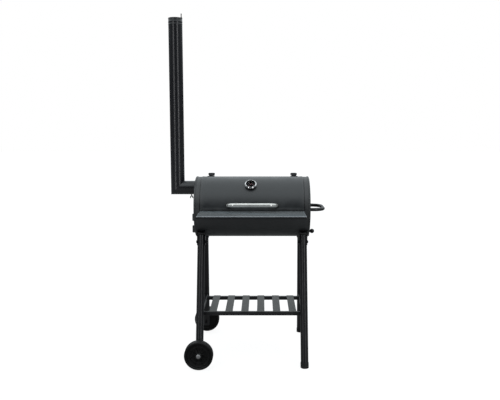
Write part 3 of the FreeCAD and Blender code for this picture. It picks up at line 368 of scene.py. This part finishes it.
def add_grid(bm, rings, closed_u, closed_v, mat=0):
    """Faces between rings of vertices; a ring of one vertex is a pole."""
    n = len(rings)
    for i in range(n if closed_v else n - 1):
        a, b = rings[i], rings[(i + 1) % n]
        k = max(len(a), len(b))
        for j in range(k if closed_u else k - 1):
            q = (j + 1) % k
            vs = []
            for v in (a[j % len(a)], a[q % len(a)], b[q % len(b)], b[j % len(b)]):
                if v not in vs:
                    vs.append(v)
            if len(vs) >= 3:
                try:
                    bm.faces.new(vs).material_index = mat
                except ValueError:
                    pass


def lathe_into(bm, prof, fr, segs=72, closed=False, mat=0):
    rings = []
    for r, z in prof:
        if r < 1e-6:
            rings.append([bm.verts.new(fr((0, 0, z)))])
        else:
            rings.append([bm.verts.new(fr((r * math.cos(2 * math.pi * k / segs), r * math.sin(2 * math.pi * k / segs), z)))
                          for k in range(segs)])
    add_grid(bm, rings, True, closed, mat)


def rounded(pts, closed=True, n=4):
    """Polyline with corners rounded: points are (u, v) or (u, v, radius)."""
    out, m = [], len(pts)
    for i, p in enumerate(pts):
        r = p[2] if len(p) > 2 else 0
        if r <= 0 or (not closed and i in (0, m - 1)):
            out.append((p[0], p[1]))
            continue
        a, b, c = Vector(pts[i - 1][:2]), Vector(p[:2]), Vector(pts[(i + 1) % m][:2])
        u, w = (a - b).normalized(), (c - b).normalized()
        ang = u.angle(w)
        t = min(r / math.tan(ang / 2), (a - b).length * 0.49, (c - b).length * 0.49)
        rr = t * math.tan(ang / 2)
        mid = b + (u + w).normalized() * (rr / math.sin(ang / 2))
        s, e = b + u * t - mid, b + w * t - mid
        for k in range(n + 1):
            f = k / n
            d = (s * (1 - f) + e * f)
            d = d.normalized() * rr
            out.append((mid.x + d.x, mid.y + d.y))
    return out


def lathe(name, prof, fr, mat, body, nodes=(), segs=72, closed=True, smooth=35):
    bm = bmesh.new()
    lathe_into(bm, prof, fr, segs, closed)
    return finish_mesh(name, bm, mat, body, nodes, smooth)


def prism_into(bm, poly, z0, z1, fr, bevel=0.0, mat=0, segs=2):
    lo = [bm.verts.new(fr((x, y, z0))) for x, y in poly]
    hi = [bm.verts.new(fr((x, y, z1))) for x, y in poly]
    faces = [bm.faces.new(lo[::-1]), bm.faces.new(hi)]
    for i in range(len(poly)):
        j = (i + 1) % len(poly)
        faces.append(bm.faces.new((lo[i], lo[j], hi[j], hi[i])))
    for f in faces:
        f.material_index = mat
    if bevel:
        rim = [e for f in faces[:2] for e in f.edges]
        bmesh.ops.bevel(bm, geom=rim, offset=bevel / 1000.0, segments=segs, profile=0.6, affect="EDGES", clamp_overlap=True)


def hex_poly(r, turn=0.0):
    return [(r * math.cos(math.radians(60 * k + turn)), r * math.sin(math.radians(60 * k + turn))) for k in range(6)]


def sweep_into(bm, path, r, segs=20, caps=True, r_fn=None):
    """Round bar along a path of points (millimetres about the barrel)."""
    pts = [Vector(p) for p in path]
    rings = []
    t_prev = (pts[1] - pts[0]).normalized()
    side = t_prev.orthogonal().normalized()
    for i, p in enumerate(pts):
        if i == 0:
            t = t_prev
        elif i == len(pts) - 1:
            t = (pts[-1] - pts[-2]).normalized()
        else:
            t = ((pts[i + 1] - p).normalized() + (p - pts[i - 1]).normalized()).normalized()
        side = (side - t * side.dot(t)).normalized()
        up = t.cross(side)
        rr = r_fn(i / (len(pts) - 1)) if r_fn else r
        ring = []
        for k in range(segs):
            a = 2 * math.pi * k / segs
            q = p + (side * math.cos(a) + up * math.sin(a)) * rr
            ring.append(bm.verts.new(W(q.x, q.y, q.z)))
        rings.append(ring)
    add_grid(bm, rings, True, False)
    if caps:
        bm.faces.new(rings[0][::-1])
        bm.faces.new(rings[-1])


def bent_path(pts, n=10):
    """3-D path with rounded corners: points are (x, y, z) or (x, y, z, radius)."""
    out = [Vector(pts[0][:3])]
    for i in range(1, len(pts) - 1):
        a, b, c = Vector(pts[i - 1][:3]), Vector(pts[i][:3]), Vector(pts[i + 1][:3])
        r = pts[i][3] if len(pts[i]) > 3 else 0
        if r <= 0:
            out.append(b)
            continue
        u, w = (a - b).normalized(), (c - b).normalized()
        ang = u.angle(w)
        t = r / math.tan(ang / 2)
        mid = b + (u + w).normalized() * (r / math.sin(ang / 2))
        s, e = b + u * t - mid, b + w * t - mid
        for k in range(n + 1):
            d = s.slerp(e, k / n)
            out.append(mid + d.normalized() * r)
    out.append(Vector(pts[-1][:3]))
    return out


def drum_sheet(name, r, wall, xs, phis, keep, mat, body, nodes, hem=(), shade_mask=None, extra=()):
    """Rolled sheet about the barrel axis: a grid in x and angle, kept where keep(x, phi) is true, given thickness."""
    bm = bmesh.new()
    full = abs(phis[-1] - phis[0]) > 359.9
    cols = phis[:-1] if full else phis
    grid = [[None] * len(cols) for _ in xs]
    verts = {}

    def vert(i, j, rr, tag):
        j = j % len(cols) if full else j
        if (i, j, tag) not in verts:
            a = math.radians(cols[j])
            if callable(rr):
                rr = rr(xs[i], cols[j])
            verts[(i, j, tag)] = bm.verts.new(W(xs[i], -math.sin(a) * rr, 814 + math.cos(a) * rr))
        return verts[(i, j, tag)]

    nj = len(cols) if full else len(cols) - 1
    q = (r(0, 36) if callable(r) else r) - wall
    used = set()
    for i in range(len(xs) - 1):
        for j in range(nj):
            if keep((xs[i] + xs[i + 1]) / 2, (phis[j] + phis[j + 1]) / 2):
                used.add((i, j))
    for i, j in used:
        f = bm.faces.new((vert(i, j, r, 0), vert(i + 1, j, r, 0), vert(i + 1, j + 1, r, 0), vert(i, j + 1, r, 0)))
        # Faces picked by the mask get the second material, a dark paint standing for shade.
        if shade_mask and shade_mask((xs[i] + xs[i + 1]) / 2, (phis[j] + phis[j + 1]) / 2):
            f.material_index = 1
        bm.faces.new((vert(i, j, q, 1), vert(i, j + 1, q, 1), vert(i + 1, j + 1, q, 1), vert(i + 1, j, q, 1)))
        for (di, dj), (p0, p1) in (((-1, 0), ((0, 0), (0, 1))), ((1, 0), ((1, 0), (1, 1))),
                                   ((0, -1), ((0, 0), (1, 0))), ((0, 1), ((0, 1), (1, 1)))):
            nb = (i + di, (j + dj) % nj if full else j + dj)
            if nb not in used:
                a0, a1 = (i + p0[0], j + p0[1]), (i + p1[0], j + p1[1])
                bm.faces.new((vert(*a0, r, 0), vert(*a1, r, 0), vert(*a1, q, 1), vert(*a0, q, 1)))
    for path, rr in hem:
        sweep_into(bm, path, rr, 12)
    return finish_mesh(name, bm, mat, body, nodes, 40, extra)


def frange(a, b, n):
    return [a + (b - a) * k / n for k in range(n + 1)]


def arc_path(r, phi, x0, x1, n=24):
    a = math.radians(phi)
    return [(x, -math.sin(a) * r, 814 + math.cos(a) * r) for x in frange(x0, x1, n)]


def to_d(fr, p):
    """A point of a local frame, in millimetres about the barrel."""
    return fr.o + fr.x * p[0] + fr.y * p[1] + fr.z * p[2]


def mitre_tube(bm, o, d, ro, ri, plane0, plane1, segs=64, rings=10, mat=0):
    """Tube about the line o + t d, each end cut by a plane given as (point, normal); millimetres about the barrel."""
    o, d = Vector(o), Vector(d).normalized()
    side = Vector((1, 0, 0)) if abs(d.x) < 0.9 else Vector((0, 1, 0))
    side = (side - d * side.dot(d)).normalized()
    up = d.cross(side)

    def ring(r, f):
        out = []
        for k in range(segs):
            a = 2 * math.pi * k / segs
            p = o + (side * math.cos(a) + up * math.sin(a)) * r
            t0 = (Vector(plane0[0]) - p).dot(Vector(plane0[1])) / d.dot(Vector(plane0[1]))
            t1 = (Vector(plane1[0]) - p).dot(Vector(plane1[1])) / d.dot(Vector(plane1[1]))
            q = p + d * (t0 + (t1 - t0) * f)
            out.append(bm.verts.new(W(q.x, q.y, q.z)))
        return out

    rs = [ring(ro, k / rings) for k in range(rings + 1)] + [ring(ri, 1 - k / rings) for k in range(rings + 1)]
    add_grid(bm, rs, True, True, mat)


def rrect(x0, x1, y0, y1, r, inset=0.0, n=5):
    x0, x1, y0, y1, r = x0 + inset, x1 - inset, y0 + inset, y1 - inset, max(r - inset, 0.3)
    out = []
    for cx, cy, a0 in ((x1 - r, y1 - r, 0), (x0 + r, y1 - r, 90), (x0 + r, y0 + r, 180), (x1 - r, y0 + r, 270)):
        for k in range(n + 1):
            a = math.radians(a0 + 90 * k / n)
            out.append((cx + r * math.cos(a), cy + r * math.sin(a)))
    return out


def ring_stack(bm, outlines, fr, mat=0):
    """Closed skin from outlines of equal length, each (points, z), with flat ends."""
    rings = [[bm.verts.new(fr((x, y, z))) for x, y in pts] for pts, z in outlines]
    add_grid(bm, rings, True, False, mat)
    bm.faces.new(rings[0][::-1]).material_index = mat
    bm.faces.new(rings[-1]).material_index = mat


def bead(bm, path, r, seed=0.0, segs=8):
    """Weld bead: a rippled round run along a path."""
    n = len(path) - 1
    sweep_into(bm, path, r, segs, True, r_fn=lambda f: r * (0.86 + 0.14 * math.sin(f * n * 1.9 + seed)))


D0 = Fr()
DR = 814.0

# ---- barrel and lid -------------------------------------------------------------------------
def gap_shade_band(x, p):
    """Painted shade: the narrow band of barrel sheet beside the lid's sides, down to its lower edge, takes the dark
    case paint to stand for the shadow in the gap.
    """
    return 275.3 < abs(x) < 278.3 and -19 < p < 91


drum_sheet("barrel_sheet", lambda x, p: 164.5 - (1.2 if 275.5 < abs(x) < 278.1 and (p < 90 or p > 342) else 0.0), 1.8,
           [-304.0, -278.3, -278.0, -275.6, -275.3] + frange(-262, 262, 22) + [275.3, 275.6, 278.0, 278.3, 304.0],
           frange(-12, 86, 40)[:-1] + frange(86, 90.5, 2)[:-1] + frange(90.5, 341.5, 100)[:-1] + frange(341.5, 348, 3),
           lambda x, p: not (abs(x) < 262 and -12 < p < 86), "paint_barrel", "frame", ("barrel_shell",),
           shade_mask=lambda x, p: gap_shade_band(x, p if p < 180 else p - 360), extra=("case_paint",),
           hem=[(arc_path(162.2, 86.6, -262, 262, 8), 1.9), (arc_path(162.2, -12.6, -262, 262, 8), 1.9)] +
               [([(x, -math.sin(math.radians(p)) * 162.2, DR + math.cos(math.radians(p)) * 162.2)
                  for p in frange(-12.6, 86.6, 40)], 1.9) for x in (-263.5, 263.5)])


def lid_radius(x, p):
    """Folded hem along the four edges, half a millimetre proud."""
    d = min(275 - abs(x), (90 - p) * 2.91, (p + 18) * 2.91)
    f = min(max((11.0 - d) / 1.2, 0.0), 1.0)
    return 166.25 + 0.55 * f


LX = [-275.0, -265.2, -264.0] + frange(-264, 264, 22)[1:-1] + [264.0, 265.2, 275.0]
LP = [-18.0, -14.7, -14.2] + frange(-14.2, 86.2, 50)[1:-1] + [86.2, 86.62, 90.0]
drum_sheet("lid_sheet", lid_radius, 1.25, LX, LP, lambda x, p: True, "paint_lid", "lid", ("lid_panel",),
           hem=[(arc_path(165.9, 89.7, -274, 274, 8), 0.9)])

# ---- hinges ---------------------------------------------------------------------------------
HY, HZ = 58.0, 990.0
LID_EAR = [(HY - 7, HZ), (HY - 4.5, HZ + 5.3), (HY + 1, HZ + 6.9), (HY + 5.6, HZ + 4), (HY + 6.8, HZ - 1.5),
           (HY + 3, HZ - 6.2), (HY - 7, HZ - 9), (HY - 8.5, HZ - 14), (HY - 22, HZ - 13), (HY - 26, HZ - 7)]
LUG = [(HY - 7, HZ), (HY - 4.5, HZ + 5.3), (HY + 1, HZ + 6.9), (HY + 5.6, HZ + 4), (HY + 6.8, HZ - 1.5),
       (HY + 3, HZ - 6.2), (HY - 7, HZ - 9), (HY - 8.5, HZ - 20), (HY - 21.5, HZ - 12), (HY - 20, HZ - 7)]
DRUM_EAR = [(HY - 7, HZ), (HY - 4.5, HZ + 5.3), (HY + 1, HZ + 6.9), (HY + 6, HZ + 4), (HY + 16, HZ - 12),
            (HY + 30, HZ - 30), (HY + 30, HZ - 41), (HY + 18, HZ - 36), (HY + 2, HZ - 24), (HY - 5.5, HZ - 6)]
for name, node_name, body_name, offs, ear, phis, rr in (
        ("lid_hinges", "hinge_leaves_lid", "lid", (-9.5, 9.5), LID_EAR, (-17.3, -2), 166.9),
        ("barrel_hinges", "hinge_leaves_barrel", "frame", (-13.5, 13.5), DRUM_EAR, (-33, -21), 164.6)):
    bm = bmesh.new()
    for hx in (-230, 230):
        for off in offs:
            prism_into(bm, rounded([(a, b, 1.6) for a, b in ear], n=3), -1.5, 1.5, Fr((hx + off, 0, 0), (0, 1, 0), (0, 0, 1), (1, 0, 0)), 0.5)
        outl = rrect(hx - 20, hx + 20, phis[0] * 2.92, phis[1] * 2.92, 4, n=3)
        lo, hi = [], []
        for u, v in outl:
            a = math.radians(v / 2.92)
            for lst, q in ((lo, rr), (hi, rr + 2)):
                lst.append(bm.verts.new(W(u, -math.sin(a) * q, DR + math.cos(a) * q)))
        add_grid(bm, [lo, hi], True, False)
        m = len(outl)
        for lst in (lo, hi):
            # strips across the leaf, so the plate follows the curve
            half = m // 2
            for k in range(half - 1):
                vs = [lst[k], lst[k + 1], lst[m - 2 - k], lst[m - 1 - k]]
                bm.faces.new(vs)
        if body_name == "lid":
            prism_into(bm, rounded([(a, b, 1.6) for a, b in LUG], n=3), -8.2, 8.2, Fr((hx, 0, 0), (0, 1, 0), (0, 0, 1), (1, 0, 0)), 0.4)
    finish_mesh(name, bm, "zinc_dark", body_name, (node_name,), 35)
bm = bmesh.new()
for hx in (-230, 230):
    lathe_into(bm, rounded([(0, -18), (2.6, -18, 0.5), (3, -17.6), (5, -17.6, 1), (5, -15.3, 1), (3, -15.2), (3, 15.2),
                            (5, 15.2, 1), (5, 17.6, 1), (0, 18.4)], closed=False, n=3), fr_right((hx, HY, HZ)), 36, False)
finish_mesh("hinge_pin_rivets", bm, "zinc_dark", "frame", ("hinge_pins",), 40)

# ---- lid handle -----------------------------------------------------------------------------
fh = fr_radial(81.3, 169.3)


def loop(fr, half, rise, bend, base=0.0):
    return [to_d(fr, p) for p in bent_path([(-half, 0, base), (-half, 0, rise, bend), (half, 0, rise, bend), (half, 0, base)], 14)]


bm = bmesh.new()
sweep_into(bm, loop(fh, 126, 45.4, 40), 10.5, 48)
finish_mesh("lid_handle_tube", bm, "chrome_handle", "lid", ("lid_handle",), 50)
bm = bmesh.new()
for x in (-126, 126):
    lathe_into(bm, rounded([(10.2, 0), (14, 0, 0.3), (14, 1.0, 0.5), (12.6, 2.1, 0.8), (10.2, 2.3)], n=3), fr_radial(81.3, 167.0, x), 56, True)
finish_mesh("lid_handle_flanges", bm, "zinc_dark", "lid", ("lid_handle_rosettes",), 40)

# ---- side handle ----------------------------------------------------------------------------
fs = Fr((312.5, 0, 809), (0, 1, 0), (0, 0, 1), (1, 0, 0))
bm = bmesh.new()
sweep_into(bm, loop(fs, 97, 74.72, 55), 9.2, 48)
finish_mesh("side_handle_tube", bm, "paint_frame", "frame", ("side_handle",), 50)

# ---- thermometer ----------------------------------------------------------------------------
ft = fr_radial(42, 166.8, -7.5)
lathe("thermo_housing", rounded([(4.2, 1.2), (26.5, 1.2, 0.8), (29, 3.4, 1.5), (29, 16.8, 0.3), (27.4, 16.8, 0.3), (27.4, 3.2, 1), (4.2, 3.2)], n=5),
      ft, "case_paint", "lid", ("thermometer_case",), 96)
lathe("thermo_ring", rounded([(29.2, 12, 0.3), (31, 12, 0.5), (31, 15.4, 1.2), (26.3, 20.5, 0.9), (25.0, 18.6, 0.5), (24.8, 17.3), (29.2, 17.3)], n=8),
      ft, "bezel_chrome", "lid", ("thermometer_bezel",), 128, smooth=50)
lathe("thermo_window", [(0, 15), (24, 15), (27.2, 15), (27.2, 16.2), (24, 16.5), (18, 16.75), (10, 16.95), (0, 17)],
      ft, "dial_glass", "lid", ("thermometer_glass",), 96, closed=False, smooth=60)
bm = bmesh.new()
lathe_into(bm, [(0, 9), (27, 9), (27, 10), (1.3, 10), (1.3, 13.4), (0, 13.6)], ft, 96, False, 0)
for k in range(53):
    a = math.radians(220 - 260 * k / 52)
    long_tick = k % 4 == 0
    r0, r1, w = (19.2 if long_tick else 21.0), 23.2, (0.30 if long_tick else 0.14)
    ca, sa = math.cos(a), math.sin(a)
    prism_into(bm, [(ca * r0 - sa * w, sa * r0 + ca * w), (ca * r0 + sa * w, sa * r0 - ca * w),
                    (ca * r1 + sa * w, sa * r1 - ca * w), (ca * r1 - sa * w, sa * r1 + ca * w)], 10.0, 10.12, ft, mat=1)
for r0, r1, a0, a1, mt in ((11.2, 11.9, -40, 220, 1), (13.6, 15.6, 96, 150, 2), (13.6, 15.6, -40, 20, 3)):
    pts = [(r1 * math.cos(math.radians(a)), r1 * math.sin(math.radians(a))) for a in frange(a0, a1, 60)] + \
          [(r0 * math.cos(math.radians(a)), r0 * math.sin(math.radians(a))) for a in frange(a1, a0, 60)]
    n = 61
    lo = [bm.verts.new(ft((x, y, 10.0))) for x, y in pts]
    hi = [bm.verts.new(ft((x, y, 10.1))) for x, y in pts]
    add_grid(bm, [lo, hi], True, False, mt)
    for k in range(n - 1):
        bm.faces.new((hi[k], hi[k + 1], hi[2 * n - 2 - k], hi[2 * n - 1 - k])).material_index = mt
        bm.faces.new((lo[k], lo[k + 1], lo[2 * n - 2 - k], lo[2 * n - 1 - k])).material_index = mt
finish_mesh("thermo_face", bm, "dial_face", "lid", ("thermometer_dial",), 30, extra=("dial_ink", "dial_zone", "dial_red"))
bm = bmesh.new()
na = math.radians(130)
fn = Fr(to_d(ft, (0, 0, 0)), ft.x * math.cos(na) + ft.y * math.sin(na), -ft.x * math.sin(na) + ft.y * math.cos(na), ft.z)
prism_into(bm, [(-1.7, -8), (1.7, -8), (1.3, 0), (0.35, 20), (-0.35, 20), (-1.3, 0)], 12.2, 13.0, fn, 0.15)
lathe_into(bm, rounded([(1.36, 11.2), (3.2, 11.2, 0.3), (3.2, 13.4, 0.8), (1.36, 13.4)], n=3), fn, 32, True)
finish_mesh("thermo_pointer", bm, "needle_paint", "needle", ("thermometer_needle",), 30)

# ---- chimney --------------------------------------------------------------------------------
MITRE = ((-412, 0, 919), (1, 0, -1))
bm = bmesh.new()
mitre_tube(bm, (0, 0, 919), (-1, 0, 0), 37.5, 36, ((-313, 0, 0), (1, 0, 0)), MITRE, 80, 8)
lathe_into(bm, rounded([(36.4, 0), (38.1, 0, 0.5), (38.1, 4.6, 0.5), (36.4, 4.6)], n=3), fr_left((-313, 0, 919)), 80, True)
finish_mesh("chimney_bend", bm, "paint_chimney", "chimney", ("chimney_elbow",), 35)
bm = bmesh.new()
mitre_tube(bm, (-412, 0, 0), (0, 0, 1), 37.5, 36, MITRE, ((0, 0, 1794.4), (0, 0, 1)), 80, 14)
fz = Fr((-412, 0, 0))
lathe_into(bm, rounded([(36, 1794.3), (37.5, 1794.3), (37.5, 1794.8), (38.2, 1796, 1), (38.2, 1797.2, 1), (37.5, 1798.5), (37.5, 1807),
                        (38.2, 1808.6, 1), (38.2, 1810.2, 1), (37.5, 1811.6), (37.5, 1827.2, 0.4), (36, 1827.5, 0.5)], n=4), fz, 80, True)
ell = [(-412 + 36.9 * math.cos(t), 36.9 * math.sin(t), 919 + 36.9 * math.cos(t)) for t in frange(0, 2 * math.pi, 120)]
bead(bm, ell, 1.1)
finish_mesh("chimney_pipe", bm, "paint_chimney", "chimney", ("chimney_stack",), 35)
lathe("chimney_lid_disc", rounded([(0, 1828.3), (36, 1828.0, 0.3), (38.2, 1828.0, 0.8), (38.2, 1829.6, 0.8), (36.4, 1830, 0.6), (34, 1829.0, 1.0), (10, 1829.7), (0, 1829.8)], closed=False, n=3),
      fz, "paint_chimney", "flap", ("chimney_flap",), 96, closed=False)

# ---- legs -----------------------------------------------------------------------------------
FX, TX = {-1: 276.0, 1: 288.0}, {-1: 274.0, 1: 276.5}
TAN = (283 - 122.5) / 638.0
for sx, xn in ((-1, "left"), (1, "right")):
    for sy, yn in ((-1, "front"), (1, "rear")):
        foot = Vector((FX[sy] * sx, 283 * sy, 0))
        d = Vector(((TX[sy] - FX[sy]) * sx / 672.0, -sy * TAN, 1)).normalized()
        bm = bmesh.new()
        top = foot + d * (672.0 / d.z)
        mitre_tube(bm, foot, d, 20, 18.4, ((0, 0, 50.0 if sx < 0 else 3.2), (0, 0, 1)), (top, d), 56, 12)
        side = (Vector((1, 0, 0)) - d * d.x).normalized()
        fl = Fr(top, side, d.cross(side), d)
        lathe_into(bm, rounded([(0, -9), (18.2, -9, 0.5), (18.2, 0.05), (20.2, 0.05, 0.3), (20.2, 1.6, 1.2), (14, 4.6, 6), (0, 5.2)], closed=False, n=5), fl, 56, False, 1)
        finish_mesh("leg_tube_%s_%s" % (yn, xn), bm, "paint_frame", "frame", ("leg_%s_%s" % (yn, xn),), 35, extra=("plastic_black",))

# ---- lower shelf ----------------------------------------------------------------------------
for sy, yn in ((-1, "front"), (1, "rear")):
    bm = bmesh.new()
    prism_into(bm, rrect(-10, 10, -10.5, 10.5, 3.2, n=4), -269.9, 269.9, fr_right((0, 150 * sy, 250.5)))
    for x in (-269.0, 269.0):
        bead(bm, [(x, 150 * sy - 9, 240.4), (x, 150 * sy - 4, 240.1), (x, 150 * sy + 4, 240.1), (x, 150 * sy + 9, 240.4)], 1.1)
    finish_mesh("shelf_rail_" + yn, bm, "paint_frame", "frame", ("rail_" + yn,), 35)
for sx, xn in ((-1, "left"), (1, "right")):
    bm = bmesh.new()
    prism_into(bm, rrect(-10, 10, -10.5, 10.5, 3.2, n=4), -206, 206, fr_back((280 * sx, 0, 250.5)))
    finish_mesh("shelf_bar_" + xn, bm, "paint_frame", "frame", ("side_bar_" + xn,), 35)
bm = bmesh.new()
for k in range(6):
    x = 86 * (k - 2.5) + 3
    o = rrect(-20.25, 20.25, -160, 160, 2.5, n=3)
    i = rrect(-20.25, 20.25, -160, 160, 2.5, 0.6, n=3)
    j = rrect(-20.25, 20.25, -160, 160, 2.5, 1.5, n=3)
    ring_stack(bm, [(j, 261.1), (i, 261.1), (o, 261.6), (o, 262.5), (i, 263.1), (j, 263.1)], Fr((x, 0, 0)))
finish_mesh("shelf_strips", bm, "paint_slats", "frame", ("shelf_slats",), 40)

# ---- wheels ---------------------------------------------------------------------------------
for sy, yn, fw, ax in ((-1, "front", fr_front, -275.8), (1, "rear", fr_back, -286.7)):
    f = fw((ax, 0, 75))
    bm = bmesh.new()
    prof = [(5.05, 292.6), (14.5, 292.6, 1), (17, 299, 3), (57, 302, 3), (62, 297, 2), (62, 286.5, 1), (72, 286.5, 2.2), (75, 289.5, 2.2),
            (75, 297), (73.9, 297.6), (73.9, 299), (75, 299.6), (75, 305.6), (73.9, 306.2), (73.9, 307.6), (75, 308.2),
            (75, 314.2), (73.9, 314.8), (73.9, 316.2), (75, 316.8),
            (75, 322.4, 3), (71.5, 326, 2.5), (65.5, 326.2, 1.2), (62.5, 323.5, 1.5), (60, 313, 4), (47, 310.2, 2), (45, 311.6, 1), (42, 311.6, 1), (40, 309.6, 2),
            (22, 308.4, 3), (18.5, 325.6, 1.5), (16.5, 327.6, 1.2), (5.05, 327.6)]
    lathe_into(bm, rounded(prof, n=4), f, 112, True)
    for k in range(8):
        a = math.radians(45 * k + 22.5)
        ca, sa = math.cos(a), math.sin(a)
        fr_rib = Fr(to_d(f, (0, 0, 0)), f.x * ca + f.y * sa, f.z, (f.x * ca + f.y * sa).cross(f.z))
        prism_into(bm, [(17.5, 307), (60.5, 309), (60.5, 315.5), (40, 315.0), (24, 318.5), (17.5, 322.5)], -1.4, 1.4, fr_rib, 0.5)
    finish_mesh("wheel_moulding_" + yn, bm, "plastic_black", "wheel_" + yn, ("wheel_" + yn,), 35)
bm = bmesh.new()
for fw, ax in ((fr_front, -275.8), (fr_back, -286.7)):
    lathe_into(bm, rounded([(5.02, 328), (11.5, 328, 0.3), (11.5, 329.2, 0.8), (10.2, 331.0, 1.5), (5.5, 332.7, 3), (0, 333), ], closed=False, n=5), fw((ax, 0, 75)), 64, False)
    lathe_into(bm, [(5.02, 328), (5.02, 331.1), (0, 331.2)], fw((ax, 0, 75)), 64, False)
finish_mesh("hub_domes", bm, "hub_zinc", "frame", ("hub_caps",), 40)

# ---- front shelf ----------------------------------------------------------------------------
bm = bmesh.new()
X0, X1, Y0, Y1, ZT, ZB = -275.5, 275.5, -366.0, -167.5, 810.0, 796.0


def pan(inset, z):
    return rrect(X0, X1, Y0, Y1, 4.0, inset, 5), z


fold = [pan(4.2 * (1 - math.sin(math.radians(a))), ZT - 4.2 * (1 - math.cos(math.radians(a)))) for a in (0, 15, 30, 45, 60, 75, 90)]
ring_stack(bm, [pan(9.0, ZT), pan(5.0, ZT)] + fold + [pan(0, ZB + 0.6), pan(0.4, ZB), pan(1.1, ZB), pan(1.5, ZB + 0.5), pan(1.5, ZT - 3),
                pan(2.2, ZT - 1.8), pan(3.4, ZT - 1.5), pan(8.0, ZT - 1.5)], D0)
bm.faces.ensure_lookup_table()
# Lit and shaded copies of one paint: faces more than 3.4 mm below the top (lip and underside) get the dark frame paint
# as painted shade, the top keeps the light shelf paint, and the front fold gets the painted-highlight paint.
for f in bm.faces:
    h = ZT - f.calc_center_median().z * 1000.0
    f.material_index = 1 if h > 3.4 else (2 if h > 0.03 and f.calc_center_median().y < -0.2 else 0)
finish_mesh("shelf_pan", bm, "paint_shelf", "frame", ("front_shelf",), 30, extra=("paint_frame", "paint_edge_highlight"))

# ---- cooking grates -------------------------------------------------------------------------
bm = bmesh.new()
for cx in (-146, 146):
    x0, x1, y0, y1 = cx - 140.4, cx + 140.4, -146.9, 146.9
    sweep_into(bm, bent_path([(cx, y0, 800), (x1, y0, 800, 10), (x1, y1, 800, 10), (x0, y1, 800, 10), (x0, y0, 800, 10), (cx + 0.5, y0, 800)], 6), 3.0, 12)
    for k in range(21):
        x = x0 + 13.37 * (k + 0.5)
        sweep_into(bm, [(x, y0 + 1, 800.6), (x, -50, 800.6), (x, 50, 800.6), (x, y1 - 1, 800.6)], 2.3, 10)
    for y in (-60, 60):
        sweep_into(bm, [(x0 + 1, y, 799.3), (cx, y, 799.3), (x1 - 1, y, 799.3)], 2.2, 10)
finish_mesh("grate_wires", bm, "paint_grate", "frame", ("cooking_grates",), 60)

# ---- damper knob ----------------------------------------------------------------------------
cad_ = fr_right((310, 0, 676))
lathe("damper_ball", rounded([(0, -6), (2.9, -6), (2.9, 2.5), (8, 2.5, 0.8), (6.4, 11.5, 2)], closed=False, n=3) +
      [(12.5 * math.sin(math.radians(a)), 21 - 12.5 * math.cos(math.radians(a))) for a in range(34, 181, 6)],
      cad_, "knob_black", "damper", ("damper_knob",), 56, closed=False, smooth=40)
